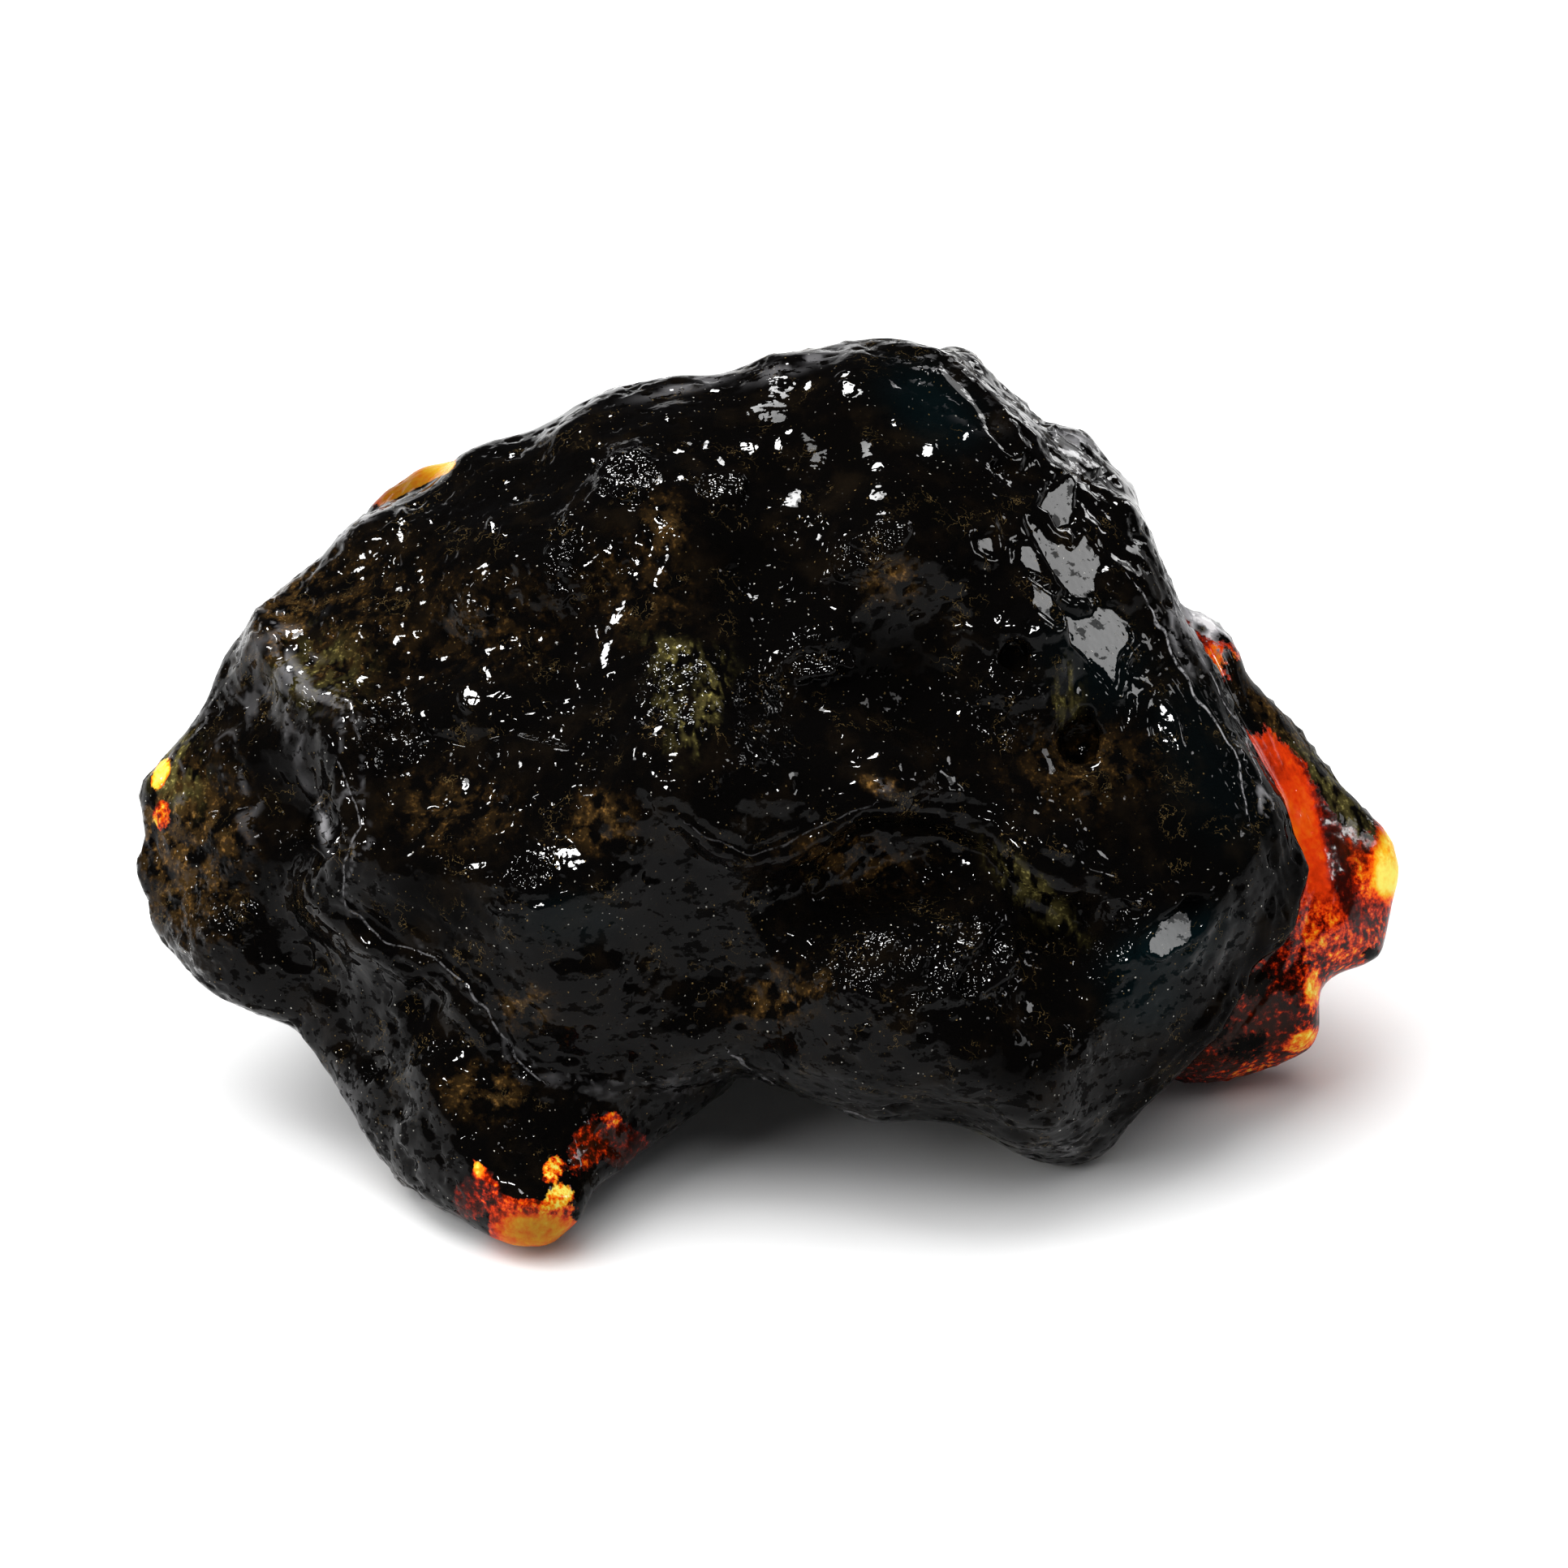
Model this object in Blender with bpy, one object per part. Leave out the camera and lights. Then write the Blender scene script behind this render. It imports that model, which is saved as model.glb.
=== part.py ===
"""A raw amber piece: one solid natural lump with a weathered, knobbly skin.

Blender 4.5, metres, +Z up. Run: blender --background --python part.py

The lump is drawn as an eye in front of it and a little above would see it. A drawn point is
(across, up, near) in drawing units, each a little under a millimetre: across to the right, up
the tilted drawing plane, and near towards the eye. Each lobe is an outline with a depth at every
corner, filled out by front and back sections. The lobes are melted into one body, carved, stood
on the floor and scaled to their length.
"""

import math

import bmesh
import bpy
import numpy as np
from mathutils import Vector, noise

NAME = "amber"
LENGTH = 0.076  # the finished lump, end to end, m

# From here on, lengths are in drawing units.
# The drawing plane leans back by the eye's height above the horizon.
EYE_ELEVATION = math.radians(27.0)
EYE_DISTANCE = 700.0  # from the eye to the drawing plane
EYE_AXIS = (0.8, 28.95)  # where the eye's axis meets the drawing plane, across and up
FLOOR_DROP = 0.5  # the floor lies this far below the drawing's zero

SPHERE_LEVEL = 7  # icosphere subdivisions of a big lobe before it is shaped
KNOB_LEVEL = 5
RIM_POWER = 4  # how squarely a lobe's faces turn over into its rim
LEAST_FULLNESS = 0.35  # a section's point nearer the rim than this counts as this full
MELT_VOXEL = 0.55
MELT_SMOOTH_STEPS = 4
CARVED_SMOOTH_STEPS = 1
FACES_KEPT = 9400  # triangles left for the finished solid
FLAT_WITHIN = 0.03  # a foot's points this near the floor are put on it

# --- The lobes ------------------------------------------------------------------------
# outline: corners (across, up, near) round the rim. front, back: for each distance across,
# the surface's (up, near) pairs down that section.

BODY = {
    "centre": (-2.5, 29.75),
    "outline": [
        (-39.4, 25.0, -15.0), (-39.1, 27.4, -15.0), (-38.4, 29.9, -15.0), (-37.1, 31.8, -15.0),
        (-35.6, 32.8, -15.0), (-34.4, 34.2, -15.0), (-33.9, 36.0, -15.5), (-33.0, 37.3, -16.0),
        (-31.5, 39.0, -16.0), (-30.0, 40.8, -16.0), (-28.9, 41.8, -16.0), (-27.5, 42.6, -16.0),
        (-26.6, 44.0, -16.0), (-25.8, 44.8, -16.0), (-24.5, 45.6, -16.5), (-22.5, 46.2, -16.5),
        (-20.2, 47.4, -16.5), (-19.2, 48.8, -17.0), (-17.8, 49.6, -17.0), (-15.0, 50.2, -17.0),
        (-12.5, 52.1, -17.0), (-9.2, 53.5, -17.0), (-7.5, 53.7, -17.0), (-4.0, 54.1, -17.0),
        (-1.0, 54.8, -17.0), (2.5, 55.9, -17.0), (6.8, 56.4, -17.0), (9.0, 56.0, -16.5),
        (11.5, 54.9, -16.0), (14.0, 52.9, -15.5), (16.2, 51.0, -15.0), (18.0, 49.2, -15.0),
        (20.5, 47.4, -14.5), (22.5, 46.6, -14.5), (23.5, 44.0, -14.0), (24.1, 42.2, -13.5),
        (25.0, 39.5, -13.0), (27.5, 34.8, -12.0), (29.0, 31.8, -11.5), (30.0, 29.2, -11.0),
        (31.2, 27.2, -10.5), (32.0, 25.2, -10.0), (32.8, 23.8, -10.0), (33.0, 21.8, -10.0),
        (32.8, 20.0, -10.0), (31.8, 18.8, -10.0), (30.0, 17.5, -10.0), (28.8, 15.5, -10.0),
        (27.5, 13.5, -10.0), (24.5, 10.5, -10.5), (22.0, 8.0, -11.5), (20.0, 5.8, -12.6),
        (18.5, 5.4, -12.8), (17.0, 5.4, -12.2), (15.5, 6.0, -11.0), (11.5, 7.2, -9.0),
        (7.5, 7.8, -8.0), (5.5, 8.2, -8.0), (3.5, 9.2, -8.0), (-0.2, 10.8, -8.5),
        (-1.8, 11.0, -8.5), (-4.0, 10.4, -5.5), (-6.5, 9.9, -4.0), (-9.5, 9.8, -3.0),
        (-12.5, 9.9, -2.5), (-14.8, 10.5, -2.5), (-17.5, 10.2, -5.0), (-20.5, 10.4, -7.0),
        (-23.5, 10.8, -9.0), (-26.5, 11.8, -11.0), (-29.0, 13.2, -13.0), (-31.3, 14.2, -14.0),
        (-33.1, 15.1, -14.2), (-34.9, 16.6, -14.5), (-36.5, 18.1, -15.0), (-37.8, 19.6, -15.0),
        (-38.9, 21.5, -15.0), (-39.4, 23.2, -15.0),
    ],
    "front": {
        -36.0: [(24.5, -11.0)],
        -33.0: [(25.0, -8.5), (18.2, -10.0)],
        -30.5: [(27.2, -8.0)],
        -28.0: [(39.5, -11.0), (27.2, -6.0), (20.8, -7.5)],
        -25.6: [(32.2, -3.0), (27.2, -2.0), (22.2, -1.5), (17.2, -5.5), (12.8, -7.5)],
        -22.5: [(42.2, -9.0), (37.2, -6.0), (32.2, -3.5), (27.2, -1.0), (20.5, -0.5), (14.8, -4.0)],
        -17.5: [(46.2, -10.0), (42.2, -6.0), (38.2, -4.0), (34.2, -2.0), (29.8, 0.3), (24.0, 3.0),
                (20.8, 3.0), (16.5, 1.0), (12.5, -1.5)],
        -11.5: [(48.5, -8.0), (43.5, -4.0), (38.5, -2.5), (33.5, -0.5), (28.8, 3.5), (23.8, 4.0),
                (18.8, 2.5), (13.5, 1.5)],
        -5.0: [(49.8, -8.0), (44.8, -3.0), (39.8, -1.0), (34.8, 2.0), (29.8, 5.5), (24.8, 4.0),
               (19.8, 2.0), (14.8, 0.0)],
        1.2: [(50.0, -8.0), (44.0, -3.0), (38.0, -1.5), (33.0, 0.5), (29.5, 4.0), (24.8, 2.0),
              (19.5, 1.0), (14.5, 1.5)],
        7.5: [(53.2, -10.0), (49.2, -6.0), (45.2, -2.5), (40.2, -2.2), (33.8, -2.5), (31.0, 0.5),
              (28.8, 2.2), (25.5, -1.2), (20.8, 0.0), (17.2, 3.0), (13.5, 4.2), (9.8, 1.0)],
        17.5: [(47.2, -9.0), (42.2, -5.0), (37.2, -3.5), (31.8, -2.5), (27.5, -1.5), (24.5, -0.3),
               (21.2, -2.5), (18.2, -0.5), (14.8, 0.0), (10.8, 0.3), (7.8, -3.0)],
        22.5: [(39.8, -8.0), (34.8, -5.5), (29.8, -4.0), (24.8, -3.0), (19.8, -2.0), (14.8, -2.5)],
        27.5: [(29.8, -6.0), (24.8, -4.0), (19.8, -4.0), (17.2, -5.5)],
        30.5: [(22.5, -6.0)],
    },
    "back": {
        -33.0: [(26.0, -19.0)],
        -29.0: [(33.0, -25.0), (23.0, -26.5), (17.5, -20.0)],
        -22.0: [(40.0, -26.0), (33.0, -30.0), (27.0, -27.0), (19.0, -30.0), (15.0, -20.0)],
        -13.0: [(47.0, -28.0), (40.0, -35.0), (31.0, -39.5), (24.0, -35.5), (18.0, -37.2),
                (14.5, -25.0)],
        -3.0: [(49.0, -27.0), (42.0, -30.0), (33.0, -32.5), (25.0, -37.0), (20.0, -32.5),
               (14.0, -21.0)],
        6.0: [(50.0, -28.0), (43.0, -34.5), (34.0, -37.0), (25.0, -32.0), (18.0, -29.0),
              (11.5, -14.0)],
        14.0: [(45.0, -27.0), (37.0, -29.5), (28.0, -34.5), (20.0, -29.0), (12.0, -17.0)],
        22.0: [(37.0, -21.0), (29.0, -27.0), (20.0, -22.0), (14.0, -15.0)],
        28.0: [(28.0, -17.0), (20.0, -16.0)],
    },
}

LEG = {
    "centre": (-16.5, 9.75),
    "outline": [
        (-28.9, 13.4, -11.5), (-27.5, 11.2, -10.0), (-25.5, 8.8, -7.5), (-24.0, 6.5, -5.5),
        (-23.0, 4.2, -4.5), (-22.0, 3.2, -4.0), (-19.5, 1.8, -2.5), (-17.2, 0.5, -1.0),
        (-16.0, 0.0, -0.5), (-14.2, 0.0, -0.5), (-13.0, 0.6, -1.0), (-12.4, 1.8, -1.5),
        (-10.5, 3.8, -3.0), (-7.5, 6.5, -6.0), (-5.4, 8.2, -8.5), (-3.5, 9.5, -11.0),
        (-2.2, 10.5, -12.0), (-4.0, 14.8, -12.0), (-8.5, 18.8, -11.0), (-15.0, 20.8, -10.0),
        (-21.5, 20.8, -10.0), (-27.0, 18.2, -11.0),
    ],
    "front": {
        -26.0: [(12.0, -7.5)],
        -22.5: [(14.0, -3.5), (9.5, -3.0), (5.5, -2.5)],
        -19.0: [(13.0, -1.0), (8.5, 0.0), (4.5, 0.5)],
        -15.5: [(9.5, -0.5), (5.5, 1.5), (2.2, 2.0)],
        -12.0: [(8.5, -2.0), (5.0, 0.0)],
        -7.0: [(9.0, -5.5)],
    },
    "back": {
        -24.0: [(12.0, -14.0), (7.0, -9.5)],
        -17.0: [(14.0, -20.0), (8.0, -11.5), (3.0, -4.8)],
        -10.0: [(14.0, -20.0), (8.0, -12.0)],
    },
}

FLANGE = {
    "centre": (29.2, 23.75),
    "outline": [
        (24.6, 10.2, -19.2), (25.5, 9.8, -20.0), (27.0, 9.6, -20.6), (28.5, 10.2, -20.6),
        (30.0, 11.0, -20.2), (31.5, 11.8, -19.2), (33.0, 12.4, -18.5), (33.6, 13.5, -18.0),
        (33.5, 15.0, -17.5), (33.6, 16.5, -18.0), (35.5, 17.4, -19.0), (36.8, 17.6, -19.5),
        (37.5, 18.2, -20.0), (37.9, 19.8, -20.0), (38.1, 21.5, -20.0), (38.5, 22.5, -20.0),
        (38.5, 23.8, -20.0), (38.0, 25.2, -20.0), (37.0, 26.5, -20.0), (35.8, 27.8, -20.0),
        (34.5, 29.2, -19.5), (33.0, 30.8, -19.0), (32.0, 32.2, -19.0), (30.8, 33.8, -18.5),
        (29.8, 35.0, -18.0), (29.0, 36.2, -18.0), (28.5, 37.5, -17.5), (27.5, 38.6, -17.0),
        (26.5, 39.2, -17.0), (25.2, 39.6, -16.5), (22.5, 37.8, -17.0), (21.0, 32.2, -18.0),
        (20.0, 23.2, -18.0), (21.0, 16.2, -17.0),
    ],
    "front": {
        28.0: [(34.0, -15.0), (28.0, -13.5), (22.0, -13.0), (15.0, -14.0)],
        32.0: [(29.0, -15.0), (23.0, -13.5), (17.0, -14.5), (14.0, -15.0)],
        35.5: [(25.0, -16.5), (21.0, -16.0)],
    },
    "back": {
        28.0: [(33.0, -23.0), (24.0, -25.0), (15.0, -24.5)],
        34.0: [(25.0, -23.5), (20.0, -23.0)],
    },
}

# Small knobs that stand behind the body's upper edge.
LEFT_KNOB = {
    "centre": (-21.0, 46.4),
    "outline": [
        (-24.8, 45.6, -20.0), (-23.0, 47.1, -20.0), (-21.8, 48.2, -20.0), (-20.5, 48.8, -20.0),
        (-19.4, 48.8, -20.0), (-18.0, 48.2, -20.0), (-17.5, 46.2, -20.0), (-19.5, 44.2, -20.0),
        (-22.5, 43.8, -20.0), (-24.5, 44.5, -20.0),
    ],
    "front": {-21.0: [(46.4, -17.5)]},
    "back": {-21.0: [(46.4, -23.5)]},
}
TOP_KNOB = {
    "centre": (12.5, 53.0),
    "outline": [
        (10.0, 55.8, -20.0), (10.5, 56.1, -20.0), (11.8, 56.0, -20.0), (12.8, 55.4, -20.0),
        (13.5, 54.5, -20.0), (14.5, 53.4, -20.0), (15.8, 52.4, -20.0), (16.2, 51.1, -20.0),
        (15.0, 49.2, -20.0), (11.5, 50.2, -20.0), (9.0, 53.2, -20.0),
    ],
    "front": {12.5: [(53.0, -16.0)]},
    "back": {12.5: [(53.0, -25.0)]},
}
SHOULDER_KNOB = {
    "centre": (18.5, 48.3),
    "outline": [
        (16.0, 51.0, -19.0), (17.5, 51.0, -19.0), (18.8, 50.9, -19.0), (19.8, 50.2, -19.0),
        (20.4, 49.0, -19.0), (21.2, 47.8, -19.0), (22.5, 46.6, -19.0), (21.5, 44.2, -19.0),
        (17.5, 45.2, -19.0), (15.2, 48.2, -19.0),
    ],
    "front": {18.5: [(48.3, -15.0)]},
    "back": {18.5: [(48.3, -24.0)]},
}

# --- The carving ----------------------------------------------------------------------
# A bump is (across, up, half width, half height, turn in degrees, height); a negative height
# is a hollow. A ridge is (height, half width, path); a negative height is a groove. A ledge is
# (height, reach, path): the path's left side is raised and its right side is sunk.

FACING_FULLY = 0.45  # a face this square to the eye is carved to the full height
LEDGE_SOFTNESS = 0.7  # half the width of a ledge's riser
KNOBBLES = [(7.5, 0.7), (3.6, 0.45)]  # (wavelength, height)
BACK_ROUGHER = 1.6  # the far side's unevenness against the near side's

MAIN_RIDGE = [
    (-30.7, 40.0), (-29.8, 36.5), (-28.3, 34.6), (-26.0, 33.8), (-25.5, 31.0), (-25.6, 27.3),
    (-25.0, 25.3), (-26.2, 22.0), (-24.5, 19.8), (-22.2, 18.8), (-20.2, 17.3), (-18.3, 16.2),
    (-17.0, 14.4), (-15.8, 12.2), (-14.7, 10.9),
]
ARCH = [
    (-6.0, 27.6), (-3.2, 25.6), (-1.2, 24.7), (1.0, 25.4), (4.8, 27.3), (6.2, 27.8),
    (11.8, 27.7), (13.8, 27.1), (16.3, 24.7), (19.4, 22.9), (23.0, 22.2),
]
FRONT_BUMPS = [
    # lit knobs of the upper face
    (-8.5, 47.3, 3.5, 2.5, 0, 0.9), (-17.7, 33.3, 2.5, 2.0, 0, 0.9),
    (-22.5, 44.3, 2.5, 1.5, 20, 0.5), (-12.3, 42.4, 3.0, 2.0, 15, 0.8),
    (-6.2, 44.3, 2.5, 3.0, 0, 0.8), (-3.0, 47.0, 2.5, 2.0, 0, 0.6),
    (-0.3, 49.6, 3.0, 1.5, 10, 0.6), (4.8, 52.6, 3.0, 1.5, 0, 0.4),
    (6.8, 48.3, 3.0, 2.5, 0, 0.6), (6.8, 43.4, 3.5, 2.5, 0, 1.0),
    (15.0, 38.8, 2.5, 2.0, 0, 0.8), (15.8, 35.3, 2.5, 2.0, 0, 0.6),
    (2.0, 37.0, 4.2, 1.8, 32, 1.1), (-5.5, 33.0, 2.5, 3.0, 20, 0.7),
    # knobs of the lower face and the left flank
    (-18.0, 23.3, 3.0, 1.5, 0, 0.7), (-13.8, 21.0, 3.0, 2.0, 0, 0.8),
    (-33.5, 20.0, 2.2, 2.0, 0, 0.7), (8.7, 17.7, 5.8, 3.6, 8, 1.4),
    (23.4, 20.0, 2.6, 2.6, 0, 0.8),
    # recesses
    (-19.5, 37.3, 3.6, 2.0, 0, -0.9), (-1.2, 42.3, 4.0, 2.4, 0, -1.3),
    (7.5, 34.6, 4.0, 3.0, 0, -1.4), (12.8, 32.0, 3.0, 2.2, 0, -1.0),
    (-11.5, 37.0, 2.5, 3.5, 0, -0.8), (-10.0, 26.0, 3.2, 2.0, 0, -0.7),
    (-16.5, 28.0, 3.5, 2.4, 0, -0.8), (-27.6, 26.3, 1.5, 2.2, 0, -1.0),
    (4.5, 21.9, 4.5, 1.6, 10, -1.2), (16.5, 18.0, 2.2, 4.0, -15, -1.2),
    # deep holes
    (19.1, 31.5, 1.3, 1.3, 0, -2.4), (15.2, 36.8, 1.2, 1.2, 0, -1.4),
    (-24.0, 11.8, 1.6, 1.0, 0, -0.6), (-20.8, 16.0, 1.4, 0.9, -20, -0.7),
]
FRONT_RIDGES = [
    (0.9, 1.3, MAIN_RIDGE),
    (0.9, 1.2, ARCH),
    (-0.9, 1.1, [(5.1, 25.7), (6.7, 26.6), (8.4, 26.7), (10.7, 25.9), (12.7, 24.8), (15.8, 22.2),
                 (18.9, 19.6)]),
    (0.6, 1.4, [(12.5, 10.8), (19.0, 7.8), (22.5, 10.3), (29.5, 16.5)]),
    (0.7, 1.3, [(-20.9, 11.0), (-18.9, 6.4), (-17.5, 5.4), (-15.0, 3.0), (-12.0, 2.6)]),
    (0.6, 0.9, [(21.5, 42.2), (24.0, 38.4), (26.5, 34.3), (28.5, 31.2), (30.5, 27.8)]),
    (0.7, 1.8, [(-17.5, 44.8), (-11.0, 38.5), (-8.0, 30.5), (-9.5, 22.0)]),
]
FRONT_LEDGES = [
    (0.9, 2.2, [(-4.5, 10.2), (-10.5, 10.0), (-14.7, 10.9), (-17.0, 14.4), (-20.2, 17.3),
                (-24.5, 19.8), (-26.2, 22.0)]),
    (0.5, 2.5, [(-30.7, 40.0), (-28.3, 34.6), (-25.5, 31.0), (-25.6, 27.3), (-25.0, 25.3),
                (-26.2, 22.0)][::-1]),
]
BACK_BUMPS = [
    (-18.0, 36.5, 4.0, 3.0, 20, -1.5), (3.0, 45.5, 5.0, 2.5, 0, 1.2),
    (-6.0, 29.5, 3.5, 3.0, -25, -1.6), (12.0, 32.0, 3.5, 4.0, 0, 1.2),
    (-12.5, 25.0, 3.5, 3.0, 0, 1.3), (7.0, 21.0, 5.0, 2.5, 15, -1.4),
    (19.0, 24.0, 3.0, 3.0, 0, -1.1), (-26.0, 28.0, 3.0, 3.0, 0, 1.0),
    (-28.0, 20.0, 3.0, 2.5, 0, -1.0), (22.0, 35.0, 3.0, 2.5, 0, -1.1),
    (-10.0, 42.0, 3.0, 2.5, 0, 1.0), (4.0, 37.0, 3.0, 2.5, 0, -1.1),
    (10.0, 40.5, 1.6, 1.6, 0, -1.8), (-16.0, 30.0, 1.5, 1.5, 0, -1.6),
    (-2.0, 19.5, 3.0, 2.0, 0, 1.0), (-20.0, 22.5, 1.8, 1.3, 30, -1.2),
]
BACK_RIDGES = [
    (1.0, 1.5, [(-30.0, 34.0), (-22.0, 31.0), (-12.0, 34.5), (-3.0, 36.5), (6.0, 42.0),
                (12.0, 46.0)]),
    (0.9, 1.4, [(24.0, 31.0), (16.0, 26.5), (9.0, 27.5), (1.0, 23.0), (-9.0, 20.0)]),
    (-0.9, 1.1, [(-4.0, 47.0), (-7.0, 39.5), (-15.0, 33.0), (-23.0, 25.0)]),
    (0.7, 1.2, [(28.0, 33.0), (32.0, 26.0), (34.0, 19.0)]),
]
BACK_LEDGES = [
    (1.0, 3.0, [(19.0, 43.0), (9.0, 36.5), (1.5, 29.0), (3.0, 17.0)]),
    (0.8, 2.5, [(-33.0, 23.0), (-24.0, 19.5), (-17.0, 22.5), (-11.0, 18.0)]),
]


# --- Drawing to room ------------------------------------------------------------------

def to_room(drawn):
    """Drawn points (across, up, near) as points in the room, still in drawing units."""
    spread = 1.0 - drawn[:, 2] / EYE_DISTANCE
    across = EYE_AXIS[0] + (drawn[:, 0] - EYE_AXIS[0]) * spread
    up = EYE_AXIS[1] + (drawn[:, 1] - EYE_AXIS[1]) * spread
    rise, run = math.sin(EYE_ELEVATION), math.cos(EYE_ELEVATION)
    depth = up * rise - drawn[:, 2] * run
    height = up * run + drawn[:, 2] * rise + FLOOR_DROP
    return np.column_stack((across, depth, height))


# --- Shaping one lobe -----------------------------------------------------------------

def smooth_loop(corners, steps=8):
    """Points on the closed Catmull-Rom curve through the corners."""
    before = np.roll(corners, 1, axis=0)
    after = np.roll(corners, -1, axis=0)
    beyond = np.roll(corners, -2, axis=0)
    curve = []
    for t in np.arange(steps) / steps:
        curve.append(0.5 * (
            2 * corners
            + (after - before) * t
            + (2 * before - 5 * corners + 4 * after - beyond) * t**2
            + (3 * corners - before - 3 * after + beyond) * t**3
        ))
    return np.stack(curve, axis=1).reshape(-1, corners.shape[1])


def rim_lookup(outline, centre):
    """A function from a bearing about the centre to the rim's (radius, near)."""
    loop = smooth_loop(np.array(outline))
    away = loop[:, :2] - np.array(centre)
    bearing = np.arctan2(away[:, 1], away[:, 0])
    order = np.argsort(bearing)
    radius = np.hypot(away[:, 0], away[:, 1])[order]
    near = loop[order, 2]
    bearing = bearing[order]

    def at(angle):
        return (
            np.interp(angle, bearing, radius, period=2 * math.pi),
            np.interp(angle, bearing, near, period=2 * math.pi),
        )

    return at


def fullness(share):
    """How far a lobe has filled out, from 0 on its rim to 1 at its centre."""
    return np.sqrt(np.clip(1.0 - share**RIM_POWER, 0.0, 1.0))


def thin_plate(places, values):
    """The smoothest function of (across, up) through the values, as a function of points."""
    if len(places) < 4:
        return lambda points: np.full(len(points), values.mean())

    def kernel(a, b):
        gap = np.linalg.norm(a[:, None] - b[None], axis=2)
        return gap**2 * np.log(np.maximum(gap, 1e-9))

    count = len(places)
    flat = np.column_stack((np.ones(count), places))
    system = np.zeros((count + 3, count + 3))
    system[:count, :count] = kernel(places, places)
    system[:count, count:] = flat
    system[count:, :count] = flat.T
    weights = np.linalg.solve(system, np.concatenate((values, np.zeros(3))))

    def at(points):
        tilted = np.column_stack((np.ones(len(points)), points))
        return kernel(points, places) @ weights[:count] + tilted @ weights[count:]

    return at


def face_lookup(sections, rim, centre):
    """The near value that one face of a lobe would have if it weren't rounded to its rim."""
    drawn = np.array([(across, up, near) for across in sections for up, near in sections[across]])
    away = drawn[:, :2] - np.array(centre)
    radius, rim_near = rim(np.arctan2(away[:, 1], away[:, 0]))
    full = fullness(np.hypot(away[:, 0], away[:, 1]) / radius)
    rise = (drawn[:, 2] - rim_near) / np.maximum(full, LEAST_FULLNESS)
    return thin_plate(drawn[:, :2], rim_near + rise)


def lobe_mesh(name, lobe, level):
    """A closed mesh in drawing units, from an icosphere whose +Z looks at the eye."""
    shape = bmesh.new()
    bmesh.ops.create_icosphere(shape, subdivisions=level, radius=1.0)
    mesh = bpy.data.meshes.new(name)
    shape.to_mesh(mesh)
    shape.free()
    ball = points_of(mesh)
    rim = rim_lookup(lobe["outline"], lobe["centre"])
    bearing = np.arctan2(ball[:, 1], ball[:, 0])
    share = np.minimum(np.hypot(ball[:, 0], ball[:, 1]), 1.0)
    radius, rim_near = rim(bearing)
    flat = np.array(lobe["centre"]) + (share * radius)[:, None] * np.column_stack(
        (np.cos(bearing), np.sin(bearing)))
    front = face_lookup(lobe["front"], rim, lobe["centre"])(flat)
    back = face_lookup(lobe["back"], rim, lobe["centre"])(flat)
    face = np.where(ball[:, 2] > 0, front, back)
    near = rim_near + (face - rim_near) * fullness(share)
    set_points(mesh, np.column_stack((flat, near)))
    return mesh


# --- Mesh helpers ---------------------------------------------------------------------

def points_of(mesh):
    points = np.empty(len(mesh.vertices) * 3)
    mesh.vertices.foreach_get("co", points)
    return points.reshape(-1, 3)


def normals_of(mesh):
    normals = np.empty(len(mesh.vertices) * 3, np.float32)
    mesh.vertex_normals.foreach_get("vector", normals)
    return normals.reshape(-1, 3).astype(float)


def set_points(mesh, points):
    mesh.vertices.foreach_set("co", points.ravel())
    mesh.update()


def with_modifiers(mesh, *modifiers):
    """A new mesh: this one after (type, settings) modifiers."""
    holder = bpy.data.objects.new("holder", mesh)
    bpy.context.scene.collection.objects.link(holder)
    for kind, settings in modifiers:
        modifier = holder.modifiers.new(kind.title(), kind)
        for setting, value in settings.items():
            setattr(modifier, setting, value)
    graph = bpy.context.evaluated_depsgraph_get()
    made = bpy.data.meshes.new_from_object(holder.evaluated_get(graph))
    bpy.data.objects.remove(holder)
    return made


def melted(meshes, smooth_steps):
    """All the meshes as one closed skin that doesn't pass through itself."""
    together = bmesh.new()
    for mesh in meshes:
        together.from_mesh(mesh)
    joined = bpy.data.meshes.new("joined")
    together.to_mesh(joined)
    together.free()
    return with_modifiers(
        joined,
        ("REMESH", {"mode": "VOXEL", "voxel_size": MELT_VOXEL}),
        ("SMOOTH", {"factor": 0.5, "iterations": smooth_steps}),
    )


# --- Carving --------------------------------------------------------------------------

def gap_to_path(flat, path):
    """Each point's distance to a polyline, and its signed side: positive on the path's left."""
    best = np.full(len(flat), 1e9)
    side = np.zeros(len(flat))
    corners = np.array(path)
    for start, end in zip(corners[:-1], corners[1:]):
        run = end - start
        along = np.clip((flat - start) @ run / (run @ run), 0.0, 1.0)
        away = flat - start - along[:, None] * run
        gap = np.hypot(away[:, 0], away[:, 1])
        nearer = gap < best
        best = np.where(nearer, gap, best)
        side = np.where(nearer, np.sign(run[0] * away[:, 1] - run[1] * away[:, 0]), side)
    return best, side


def mound(flat, across, up, half_width, half_height, turn, height):
    """A rounded bump, or a hollow where the height is negative."""
    angle = math.radians(turn)
    away = flat - (across, up)
    along = (away[:, 0] * math.cos(angle) + away[:, 1] * math.sin(angle)) / half_width
    over = (away[:, 1] * math.cos(angle) - away[:, 0] * math.sin(angle)) / half_height
    return height * np.exp(-(along**2 + over**2))


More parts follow.
